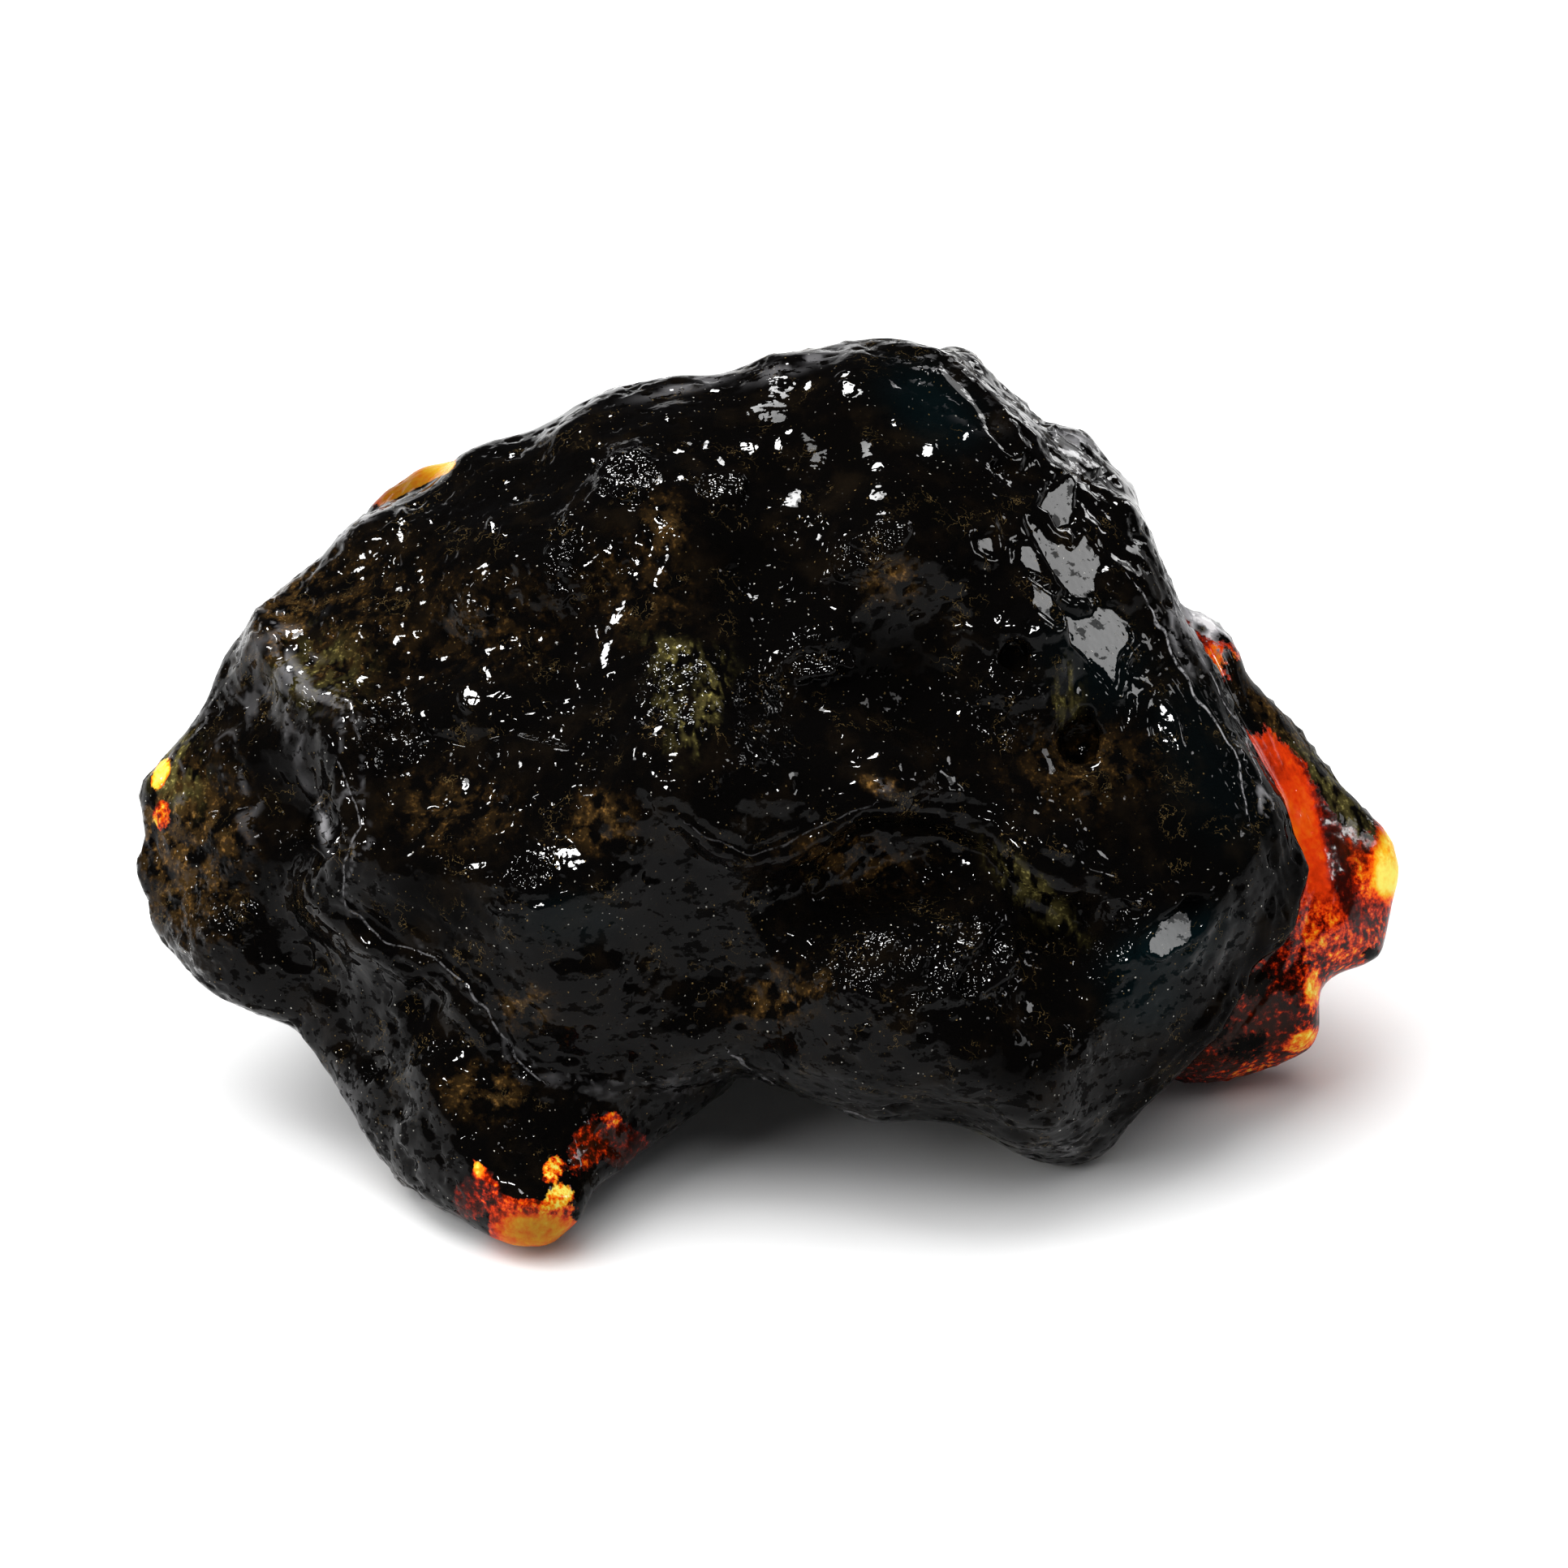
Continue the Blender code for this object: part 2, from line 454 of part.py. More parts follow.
def carving(flat, bumps, ridges, ledges):
    """How far each point moves out along its normal."""
    out = np.zeros(len(flat))
    for bump in bumps:
        out += mound(flat, *bump)
    for height, half_width, path in ridges:
        gap, _ = gap_to_path(flat, path)
        out += height * np.exp(-((gap / half_width) ** 2))
    for height, reach, path in ledges:
        gap, side = gap_to_path(flat, path)
        fade = np.exp(-((gap / reach) ** 2))
        out += np.where(side > 0, height, -height) * fade * np.tanh(gap / LEDGE_SOFTNESS)
    return out


def knobbly(points):
    """Unevenness at each size of knobble."""
    out = np.zeros(len(points))
    for wavelength, height in KNOBBLES:
        out += [height * noise.noise(Vector(point) / wavelength) for point in points]
    return out


def carve(mesh):
    """Carve the eye's side and the far side, leaving the outline between them as drawn."""
    points, normals = points_of(mesh), normals_of(mesh)
    facing = normals[:, 2]
    front = np.clip(facing / FACING_FULLY, 0.0, 1.0)
    back = np.clip(-facing / FACING_FULLY, 0.0, 1.0)
    flat = points[:, :2]
    out = front * carving(flat, FRONT_BUMPS, FRONT_RIDGES, FRONT_LEDGES)
    out += back * carving(flat, BACK_BUMPS, BACK_RIDGES, BACK_LEDGES)
    out += (front + BACK_ROUGHER * back) * knobbly(points)
    set_points(mesh, points + out[:, None] * normals)
    return melted([mesh], CARVED_SMOOTH_STEPS)


# --- Setting down ---------------------------------------------------------------------

def set_down(mesh):
    """Stand the lump on the floor with flats on its feet, thin it, centre it and scale it."""
    room = to_room(points_of(mesh))
    room[:, 2] = np.maximum(room[:, 2], 0.0)
    set_points(mesh, room)
    mesh.calc_loop_triangles()
    share = FACES_KEPT / len(mesh.loop_triangles)
    thinned = with_modifiers(
        mesh, ("DECIMATE", {"ratio": share, "use_collapse_triangulate": True}))
    room = points_of(thinned)
    room[room[:, 2] < FLAT_WITHIN, 2] = 0.0
    low, high = room.min(axis=0), room.max(axis=0)
    middle = ((low[0] + high[0]) / 2, (low[1] + high[1]) / 2, 0.0)
    print(f"middle ({middle[0]:.4f}, {middle[1]:.4f}, 0.0) size {high - low}")
    scale = LENGTH / (high[0] - low[0])
    set_points(thinned, (room - middle) * scale)
    return thinned


def amber_material():
    material = bpy.data.materials.new("raw amber")
    material.use_nodes = True
    shader = material.node_tree.nodes["Principled BSDF"]
    shader.inputs["Base Color"].default_value = (0.035, 0.016, 0.006, 1.0)
    shader.inputs["Roughness"].default_value = 0.22
    shader.inputs["IOR"].default_value = 1.54
    return material


def main():
    for thing in list(bpy.data.objects):
        bpy.data.objects.remove(thing)
    lump = melted([
        lobe_mesh("body", BODY, SPHERE_LEVEL),
        lobe_mesh("leg", LEG, SPHERE_LEVEL),
        lobe_mesh("flange", FLANGE, SPHERE_LEVEL),
        lobe_mesh("left_knob", LEFT_KNOB, KNOB_LEVEL),
        lobe_mesh("top_knob", TOP_KNOB, KNOB_LEVEL),
        lobe_mesh("shoulder_knob", SHOULDER_KNOB, KNOB_LEVEL),
    ], MELT_SMOOTH_STEPS)
    finished = set_down(carve(lump))
    finished.materials.append(amber_material())
    finished.shade_smooth()
    thing = bpy.data.objects.new(NAME, finished)
    bpy.context.scene.collection.objects.link(thing)


main()
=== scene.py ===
"""The look of a raw amber piece: a wet, dark, pebbly lump with clear glowing edges.

The lump is dressed on the same drawing as its solid. A drawn point is (across, up, near) in
drawing units, each a little under a millimetre: across to the right, up the tilted drawing
plane, and near towards the eye. The solid is made finer, gets its fine relief, and carries the
zones of its skin as attributes, which its one material reads.
"""

import math

import bpy
import numpy as np
from mathutils import Matrix, Vector


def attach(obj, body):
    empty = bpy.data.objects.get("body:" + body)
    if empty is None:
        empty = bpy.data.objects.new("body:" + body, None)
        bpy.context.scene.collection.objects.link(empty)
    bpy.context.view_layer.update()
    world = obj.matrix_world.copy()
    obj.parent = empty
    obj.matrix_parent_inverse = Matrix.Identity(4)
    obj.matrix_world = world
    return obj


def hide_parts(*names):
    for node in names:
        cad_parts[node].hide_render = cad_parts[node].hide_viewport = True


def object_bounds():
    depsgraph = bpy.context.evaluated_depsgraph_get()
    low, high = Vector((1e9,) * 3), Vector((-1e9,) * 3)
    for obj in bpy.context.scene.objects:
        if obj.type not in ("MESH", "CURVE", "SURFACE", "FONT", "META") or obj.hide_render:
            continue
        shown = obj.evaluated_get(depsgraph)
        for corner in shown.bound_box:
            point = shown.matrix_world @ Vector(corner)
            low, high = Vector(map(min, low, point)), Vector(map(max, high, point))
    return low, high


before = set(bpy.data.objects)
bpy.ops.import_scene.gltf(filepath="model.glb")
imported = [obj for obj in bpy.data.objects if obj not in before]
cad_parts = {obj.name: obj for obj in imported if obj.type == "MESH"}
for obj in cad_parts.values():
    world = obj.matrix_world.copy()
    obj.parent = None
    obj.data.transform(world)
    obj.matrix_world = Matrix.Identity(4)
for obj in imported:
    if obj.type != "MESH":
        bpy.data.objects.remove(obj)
BARE_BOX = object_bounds()

NODE = "amber"

# --- The drawing ---

DRAWN_LENGTH = 79.6528  # the lump, end to end
DRAWN_MIDDLE = Vector((-0.0684, 25.0869, 0.0))  # where the frame's origin lies on the floor
EYE_ELEVATION = math.radians(27.0)
EYE_RISE, EYE_RUN = math.sin(EYE_ELEVATION), math.cos(EYE_ELEVATION)
EYE_DISTANCE = 700.0
EYE_AXIS = (0.8, 28.95)  # where the eye's axis meets the drawing plane, across and up
EYE_FIELD = 96.6  # the width of the drawing plane that the eye takes in
FLOOR_DROP = 0.5  # the floor lies this far below the drawing's zero

METRE = (BARE_BOX[1].x - BARE_BOX[0].x) / DRAWN_LENGTH  # a drawing unit in metres

# --- The lamps ---

GLINT_LAMPS = [  # lamps that only glint: (name, azimuth, elevation, angular width, brightness)
    ("right softbox", 95.0, 34.0, 14.0, 29.0),
    ("top softbox", -160.0, 60.0, 10.0, 160.0),
    ("front spot", -22.0, 52.0, 6.0, 300.0),
    ("left spot", -95.0, 42.0, 6.0, 170.0),
]
BACK_PANEL = ("back panel", 150.0, 16.0, 16.0, 13.0)
FLOOR_LAMPS = [  # lamps that only light matt surfaces: (name, azimuth, elevation, width, strength)
    ("top fill", -150.0, 68.0, 60.0, 3.0),
    ("left fill", -70.0, 40.0, 60.0, 2.5),
    ("right fill", 70.0, 52.0, 60.0, 0.4),
    ("front fill", 15.0, 66.0, 40.0, 0.8),
]

# --- The mesh ---

FINE_VOXEL = 0.23
FACET_SMOOTH_STEPS = 26  # enough to melt the solid's facets
MOST_TRIANGLES = 196000
FRONT_KEPT = 0.6  # how far the side that faces the eye is spared when the mesh is thinned
WEIGHT_STEPS = 10

# --- Paths on the skin: points (across, up) ---

MAIN_RIDGE = [
    (-30.7, 40), (-29.8, 36.5), (-28.3, 34.6), (-26, 33.8), (-25.5, 31), (-25.6, 27.3), (-25, 25.3),
    (-26.2, 22), (-24.5, 19.8), (-22.2, 18.8), (-20.2, 17.3), (-18.3, 16.2), (-17, 14.4),
    (-15.8, 12.2), (-14.7, 10.9), (-10.5, 10), (-4.5, 10.2),
]
ARCH = [
    (-6, 27.6), (-3.2, 25.6), (-1.2, 24.7), (1, 25.4), (4.8, 27.3), (6.2, 27.8), (11.8, 27.7),
    (13.8, 27.1), (16.3, 24.7), (19.4, 22.9), (23, 22.2),
]
ARCH_LIP = [
    (-4.5, 26.3), (-3, 24.8), (-1.2, 24.2), (0.5, 24.5), (2.5, 25.3), (4, 26.5), (5.5, 27.3),
    (7.5, 27.2), (10, 26.9), (12.5, 26), (14.2, 24.8), (16, 23.5), (18, 23), (20, 22.8), (22, 22.3),
]
RIGHT_EDGE = [
    (12, 55.5), (16.5, 51.5), (21, 47.5), (24, 42.5), (25.5, 37.5), (28, 32.5), (30.5, 27.5),
    (32.2, 22.5), (31, 18.5), (27.5, 13.5), (23, 8.5),
]
TOP_EDGE = [
    (-25.5, 44.8), (-19.5, 48.5), (-15.5, 50), (-10.5, 52.6), (-7.5, 53.8), (-2.5, 54.2),
    (1.5, 55.3), (6.5, 56.3), (10, 55.8),
]
BOTTOM_RIM = [
    (-3, 10.8), (1, 8.8), (6, 7.2), (11, 6.6), (15, 5.6), (19, 6),
]
CRACKS = [  # (how strong its painted highlight, path)
    (1, [(22.5, 41), (25.2, 36), (26.4, 33.9), (28.5, 30.9), (29.3, 27.1)]),
    (0.9, [(24.2, 41.8), (25.6, 38.5), (27.1, 35.3), (28.8, 32.4), (30, 29.3)]),
    (0.45, [(-2.4, 12.2), (0.5, 10), (3, 8.8), (6.7, 7.9), (10, 7.3), (13.5, 6.6)]),
    (0.4, [(-26.5, 30.2), (-25, 26.2), (-26.1, 24), (-25.9, 21.3), (-23.5, 19.2),
            (-20.4, 18), (-17.4, 15.2), (-15.5, 12.1), (-14, 10.6)]),
    (0.12, [(-5, 26.4), (-3, 25.3), (-1.2, 24.5), (1, 25.1), (4.8, 27.1), (6.2, 27.6)]),
]

# --- The relief ---

# A patch is (across, up, half width, half height, turn in degrees, strength).
PEBBLES = [
    (-8.5, 48, 2.2, 1.9, 30, 1), (-3, 47.2, 1.8, 1.3, 0, 0.9), (-12.7, 42.4, 1.1, 3.2, 5, 0.9),
    (6.2, 43.4, 2.9, 1.2, 35, 1), (1, 36, 4, 1.6, 28, 1), (8.8, 17.7, 5.6, 3, 10, 1.2),
    (14.5, 33.6, 2.8, 2.2, 0, 0.8), (21.6, 20.7, 1.3, 1.1, 0, 0.9), (-5.3, 34.8, 2.4, 3.2, 0, 1),
    (-23.3, 32, 2.2, 2.4, 0, 0.8), (21, 17.7, 1.6, 2.2, 0, 0.8), (-1, 32, 3, 2.2, 30, 0.7),
    (-18.5, 39.5, 2.5, 1.6, -30, 0.5), (-16, 22.5, 3, 2.2, 0, 0.5), (-34, 22, 3, 4, 0, 0.8),
    (16.5, 31.8, 4.5, 1.4, 0, 0.6), (19.5, 13, 2.5, 3, 0, 0.5), (13, 49, 2, 2.6, 0, 0.3),
]
SWELLS = [  # patches whose strength is a height
    (8, 33.8, 6.5, 4.2, 0, 0.9), (14.5, 35, 4, 3.5, 0, 0.5),
]
CALM = [  # where ripples and pocks fade
    (3, 50, 8, 4.4, 0, 1.4), (12, 45, 3.5, 5, 0, 0.8), (-9, 38.5, 6, 2.5, 0, 0.6),
    (-19, 36.5, 5, 4, 0, 0.5), (24.5, 29, 3.5, 7, 20, 0.7),
]
DENTED = [  # where small dents come in
    (-27, 15.5, 6, 7, 40, 1), (-19.5, 6.5, 5, 5, 0, 0.9), (-20, 28, 6, 4.5, 0, 0.8),
    (-32.5, 27, 4, 7, 0, 0.9), (3, 29, 6, 2.5, 20, 0.7), (-12, 39, 8, 5, 0, 0.6),
    (18, 27.5, 8, 3, 0, 0.8), (24, 25, 4, 4, 0, 0.8), (11, 9, 10, 3, -10, 0.6),
    (4.5, 21.5, 5, 3, 20, 0.7), (28, 14, 5, 3, 40, 0.5), (8, 38.5, 5, 4, 0, 0.9),
    (-6, 20, 4, 6, 0, 0.35), (14, 35.5, 6, 3, 0, 0.9), (9.8, 53.6, 4, 1.8, -35, 1.1),
]
PITS = [  # (across, up, radius, depth)
    (19.1, 31.5, 1.15, 1.6), (19.4, 33, 0.5, 0.7), (15.2, 36.8, 1.05, 1.2), (13.9, 48.6, 0.45, 0.5),
    (-29, 18, 1, 0.4), (-26, 12.8, 0.9, 0.4), (-24, 11.5, 0.8, 0.5), (-20.9, 16, 1.6, 0.5),
    (-27.5, 26.3, 1.2, 0.7),
]
SEAMS = [  # (height, half width, path)
    (0.55, 0.75, ARCH_LIP),
    (-0.35, 0.36, ARCH),
    (0.16, 0.3, [(21.5, 42.3), (24, 38.3), (26.5, 34.3), (28.5, 31.3), (30.5, 27.8)]),
    (0.12, 0.3, [(24.2, 34), (26.5, 31), (29, 26.5)]),
    (-0.32, 0.38, [(-26, 21.8), (-24.7, 20.5), (-22.5, 18.8), (-20.5, 18.3), (-19, 17.3),
                   (-17.5, 15.3), (-16, 12.8), (-15, 11.3)]),
    (-0.28, 0.36, [(-26.7, 21), (-25.5, 20.3), (-23.5, 19), (-23, 17.8), (-20.2, 17),
                   (-18.7, 15.5), (-17.5, 13.8), (-16.2, 11.8), (-15.5, 10.8)]),
    (0.15, 0.3, [(12.5, 10.8), (16, 9.4), (19, 8), (22.5, 10.4), (26, 13.4), (29.5, 16.5)]),
    (0.3, 0.5, [(12.5, 29.3), (16, 28.6), (20, 28.9), (23.5, 30.5)]),
    (-0.3, 0.4, [(-25, 32.5), (-22, 32.2), (-19, 31.4), (-15.5, 32.4), (-12.5, 31.5)]),
]
# Noise adds up in layers: (height, wavelength, seed).
RAGGED_EDGES = [(0.55, 2.4, 11), (0.35, 1.1, 12)]
BROAD_WAVES = [(0.5, 5.5, 20)]
RIPPLES = [(0.15, 2.8, 21), (0.055, 1.4, 22), (0.018, 0.75, 23)]
DENTS = [(0.2, 1.9, 24), (0.07, 1, 25)]
POCKS = [(0.2, 1.7, 0.42, 90), (0.13, 0.95, 0.35, 100)]  # (depth, size, share of cells, seed)
WRINKLES = [  # strings beside a path: (height, path, reach, spacing, length, seed)
    (0.3, MAIN_RIDGE, 1.9, 0.55, 2.6, 61),
    (0.26, RIGHT_EDGE, 2.2, 0.55, 6, 65),
    (0.26, TOP_EDGE, 1.6, 0.6, 5, 73),
    (0.22, BOTTOM_RIM, 1.6, 0.6, 5, 67),
    (0.24, ARCH, 1.8, 0.55, 2.2, 69),
]
FLANK_HEIGHT = 0.08

# --- The mirrors ---

# Flat wet places that mirror a lamp to the eye: (lamp, outline).
POOLS = [
    ("right softbox", [
        (17.5, 40.1), (18.8, 39.2), (19.9, 39.2), (20.2, 40), (21.2, 39.9), (22.1, 38.8), (22.2, 37.9),
        (21.3, 36.6), (21.1, 34.6), (20.4, 35.8), (18.4, 37.6), (18.1, 38.9)]),
    ("right softbox", [
        (15.7, 45), (17.6, 43.8), (18.6, 43.4), (19.2, 44.6), (20.2, 43.2), (20.4, 42.5), (19.9, 41.5),
        (20, 40.7), (18.7, 40.4), (18, 41), (17.2, 42.3)]),
    ("right softbox", [
        (18, 47.9), (18.5, 47.3), (18.6, 45.2), (17.7, 45), (17.2, 45.8), (16.5, 46.1), (16.9, 46.8)]),
    ("right softbox", [
        (15.2, 43.7), (15.9, 43.7), (16.4, 43), (16.8, 41.8), (15.9, 42.1), (15.1, 42.7)]),
    ("right softbox", [
        (15.5, 41.5), (17, 40.4), (17, 39.3), (17.3, 38.7), (16.2, 39.6)]),
    ("right softbox", [
        (12.5, 44), (13.4, 44.1), (13.4, 43.1), (12.6, 43.5)]),
    ("back panel", [
        (10, 54.6), (10.9, 54.2), (12.1, 53.3), (12.8, 52.3), (13.8, 51.2), (14.6, 50), (14.9, 49.4),
        (14.1, 50.2), (13.2, 51.2), (12.4, 52.2), (11.4, 52.8), (10.6, 53.6)]),
    ("back panel", [
        (16.9, 51.1), (18.5, 50.9), (19.6, 50.3), (20.4, 49), (20.6, 48.2), (19.7, 48), (18.5, 48.2),
        (17.5, 49.2), (17, 50.2)]),
    ("right softbox", [
        (26.5, 21.7), (26.3, 20.6), (25.4, 19), (23.6, 18), (22.8, 18.3), (22.8, 19.2), (23.9, 20.3),
        (25.2, 21.1), (25.7, 21.8)]),
]
# Facets that mirror the nearest lamp, first crumpled curls, then small glints:
# (across, up, half width, half height, turn).
CURLS = [
    (12.9, 17, 1.3, 0.9, 30), (10.6, 17.3, 1, 0.8, 0), (8.5, 17.8, 0.9, 0.7, 10),
    (9.5, 15.7, 1.1, 0.5, 0), (6.6, 16.9, 0.9, 0.5, 0), (12, 19.3, 0.9, 0.7, -20),
    (14.2, 19, 0.6, 0.9, 0), (7, 19, 0.8, 0.5, 20), (-8.6, 48.2, 1.5, 1.1, 20),
    (-8.5, 46.6, 0.9, 0.6, 0), (-3, 47.4, 1.2, 0.8, 0), (6.9, 43.6, 1.4, 0.8, 35),
    (5, 42.6, 0.9, 0.6, 30), (24.3, 32.3, 0.7, 1.4, 20), (-13.1, 42.3, 0.7, 0.9, 0),
    (-6.7, 44.8, 0.5, 0.9, 15), (2.2, 36.3, 1.3, 0.7, 25), (-4.6, 35.9, 0.9, 0.6, 0),
]
GLINTS = [
    (-22.6, 44.6, 0.3, 0.9, -8), (-18.3, 34.3, 0.65, 0.7, 0), (-17.3, 35.7, 0.3, 0.5, 40),
    (-16.9, 44.6, 0.25, 0.5, 15), (-19.2, 40.1, 0.25, 0.5, 10), (-9.4, 48.5, 0.6, 0.35, 20),
    (-8.3, 48.9, 0.7, 0.4, 30), (-7.3, 48.4, 0.35, 0.6, 20), (-9, 47.7, 0.45, 0.3, -30),
    (-8, 47.9, 0.45, 0.35, 30), (-8.9, 46.9, 0.35, 0.5, 0), (-8, 46.7, 0.5, 0.3, -20),
    (-9.9, 47.3, 0.25, 0.35, 0), (-10.2, 48.6, 0.3, 0.2, 20), (-8.2, 42.7, 0.3, 0.6, 20),
    (-8.4, 41.9, 0.6, 0.25, 0), (-12.5, 42.9, 0.5, 0.4, 0), (-12.8, 41, 0.3, 0.8, 10),
    (-6.9, 44.8, 0.3, 0.4, 0), (-3.6, 47.3, 0.6, 0.6, 0), (-2.2, 47.3, 0.5, 0.7, 0),
    (-1.3, 49.8, 0.7, 0.4, 0), (0.5, 50, 0.35, 0.5, -25), (1.1, 50.8, 0.35, 0.25, 30),
    (4.8, 53.2, 0.5, 0.35, -30), (4.6, 54, 0.45, 0.2, 20), (2.3, 53.6, 0.4, 0.3, 20),
    (6.6, 48.7, 0.4, 0.5, -30), (7.6, 51.3, 0.5, 0.25, -40), (9.7, 49.7, 0.5, 0.5, 0),
    (7.9, 44.3, 0.4, 0.25, 0), (5.6, 42.9, 0.6, 0.5, 30), (6.6, 43.8, 0.7, 0.7, 50),
    (4.8, 43.3, 0.4, 0.4, 0), (3.6, 42, 0.5, 0.3, 45), (9, 39.3, 0.5, 0.25, 10),
    (11.4, 38.7, 0.4, 0.3, 20), (12.2, 38.8, 0.3, 0.45, 30), (14.1, 39.3, 0.35, 0.25, 20),
    (16, 38.5, 0.4, 0.45, 50), (3.6, 38.5, 0.35, 0.45, 0), (4, 37, 0.5, 0.4, 0),
    (1.8, 36.3, 0.5, 0.3, 20), (0, 35.5, 0.4, 0.25, 30), (2.8, 35.4, 0.3, 0.3, 0),
    (-1.5, 34.6, 0.3, 0.25, 0), (1, 37.6, 0.25, 0.3, 0), (-12, 40, 0.25, 0.5, 10),
    (-11.4, 41.6, 0.3, 0.25, 0), (-9.6, 43.4, 0.25, 0.3, 0), (16.2, 36.7, 0.3, 0.5, -20),
    (15.5, 35.7, 0.45, 0.25, -30), (-18, 23.8, 0.9, 0.4, 5), (-14.1, 21.4, 0.6, 0.35, 20),
    (-33.5, 20.5, 0.6, 0.6, 0), (-36.4, 22, 0.35, 0.35, 0), (-26.9, 26.5, 0.3, 1.5, 10),
    (-27, 24.7, 0.3, 0.3, 0), (13.4, 16.7, 0.6, 0.4, 30), (13.9, 17.6, 0.3, 0.5, 30),
    (12.5, 15.9, 0.4, 0.3, 0), (10.5, 17.5, 0.4, 0.4, 0), (9.3, 16.6, 0.3, 0.3, 0),
    (8.2, 18.6, 0.35, 0.25, 0), (11.4, 18.6, 0.3, 0.4, 20), (6.4, 17.3, 0.3, 0.25, 0),
    (8.9, 15.1, 0.35, 0.25, 10), (5.3, 17.2, 0.45, 0.35, 0), (7.1, 14.8, 0.3, 0.3, 0),
    (11.1, 14.7, 0.35, 0.3, 0), (7.9, 16.9, 0.3, 0.35, 30), (10.2, 18.4, 0.35, 0.3, 0),
    (13.2, 19.9, 0.35, 0.3, 40), (5.9, 13.9, 0.35, 0.3, 0), (10.6, 20.1, 0.3, 0.25, 0),
    (11.6, 17.2, 0.3, 0.3, 0), (12.6, 19.8, 0.35, 0.6, -20), (-7.5, 30.8, 0.4, 0.4, 30),
    (-5.8, 30.8, 0.5, 0.3, 20), (24.2, 33.2, 0.35, 0.8, 30), (24.6, 31.4, 0.5, 0.6, 40),
    (22, 33.2, 0.25, 0.9, -5), (21.7, 20.7, 0.5, 0.5, 0), (21.7, 17.9, 0.4, 0.3, 0),
]
CURL_CRUMPLE = 1.7  # how much the fine relief crumples a curl, against 1 on a glint
FACET_DEPTH = 3.0  # a facet is fitted to the skin this close behind its nearest point
FACET_REACH = 4.0  # and flattens the skin this close behind it
MOST_LIFT = 1.2
POOL_BULGE = 0.010
FACET_RIPPLE = (0.022, 2.1, 81)  # (height, wavelength, seed)
SHORE_LUMPS = [(0.15, 1.6, 83), (0.07, 0.8, 84)]
SHORE_LIP = 0.16

# --- The paint ---

# What lies in the clear windows, the amber's colour with its glow painted in, in this order:
# (across, up, half width, half height, turn, painted glow from dark 0 to yellow 1, how flecked).
FLANGE_GLOWS = [
    (29.5, 13, 6.5, 5.5, 0, 0.1, 0.9), (35, 18.6, 3.5, 2.2, 20, 0.33, 0.95),
    (32.2, 26.6, 6.8, 2, -67, 0.6, 0.08), (30.6, 30.6, 1.6, 1.2, -60, 0.51, 0.12),
    (33.6, 19.8, 1.5, 1.5, 0, 0.54, 0.8), (34.7, 25.3, 3.8, 0.7, -74, 0.12, 0.5),
    (35.4, 21.6, 0.5, 2.2, 25, 0.12, 0.5), (36.2, 23, 0.45, 1.8, 22, 0.56, 0.7),
    (37.9, 24.2, 1, 2.3, 0, 0.86, 0.25), (37.8, 22.9, 0.9, 1.1, 0, 1, 0.1),
    (28, 36.4, 1.4, 0.9, -35, 0.64, 0.4), (33.2, 16.1, 0.5, 1.2, 0, 0.8, 0.5),
    (32.6, 12.9, 1.2, 0.6, 30, 0.8, 0.5), (29.5, 10.6, 3.2, 0.8, 25, 0.4, 1.1),
]
LIP_GLOWS = [
    (-9, 6.4, 2.6, 1.5, -35, 0.14, 0.45), (-18, 3.4, 1.3, 1.8, -30, 0.17, 0.38),
    (-14.4, 1.2, 2.7, 1.3, 5, 0.77, 0.2), (-14.2, 2.7, 2.6, 0.5, -5, 0.44, 0.8),
    (-12.9, 3.3, 1.1, 0.8, 30, 0.88, 0.9), (-13.2, 5, 0.7, 1, -20, 0.74, 1.2),
    (-9.7, 8.1, 0.8, 0.45, 0, 0.74, 0.8), (-11, 6.5, 1.3, 2, -35, 0.24, 0.95),
    (-17.8, 5, 0.35, 0.7, 20, 0.85, 0.4), (-17.2, 3.6, 0.8, 0.9, 0, 0.26, 0.8),
    (-21.5, 47, 3.2, 1.9, 20, 0.76, 0.15), (-20.1, 48.6, 1, 0.6, 15, 0.88, 0.15),
    (-37.3, 29.4, 0.5, 1.2, -22, 0.93, 0.25), (-37.2, 26.9, 0.6, 1, 0, 0.6, 0.9),
]
# The rest are patches.
FLANGE_CRUST = [  # where crust still covers the flange
    (30.6, 33.6, 5.5, 1.2, -50, 1), (34.9, 28.2, 3.9, 1.3, -53, 1), (33.2, 30.8, 3, 1, -50, 1),
    (29.8, 16.5, 1.6, 1.2, 0, 0.8), (27, 13.8, 2.4, 1.4, 40, 0.7), (36.9, 18.2, 0.8, 0.8, 0, 0.8),
    (29, 12.5, 2, 1.2, 20, 0.7), (25, 36.8, 1.5, 3, 30, 0.6), (28.9, 33.7, 2.4, 1.4, -50, 1.1),
    (27, 39, 2.3, 1.3, -35, 1.1),
]
OCHRE = [
    (-10.3, 26.6, 1.8, 1.6, 0, 1), (7.6, 41.5, 1.6, 1.1, 0, 1), (0.5, 15.8, 2.8, 1.6, 20, 0.8),
    (-15, 15, 1.5, 1.2, 0, 0.9), (-17.5, 9.8, 2.2, 1.5, 0, 0.9), (-35.5, 25, 3, 5, 0, 1),
    (-37.3, 26.5, 1.2, 2.6, -10, 1.6), (6.8, 28.8, 1.2, 0.5, -20, 1.6),
    (31, 33, 3.5, 0.8, -50, 0.8), (-26, 38.5, 6, 4.5, 20, 0.28), (-19.5, 27.3, 3.4, 2.2, 0, 0.4),
    (-6.5, 44.8, 1.4, 1.8, 0, 0.7), (-29.5, 39.5, 2, 3.5, -20, 0.8), (5.5, 24, 4, 1.5, -10, 0.6),
    (-18, 39, 4.5, 3, 0, 0.25), (19, 30, 4, 2.5, 0, 0.4), (-8, 41, 3, 3, 0, 0.28),
]
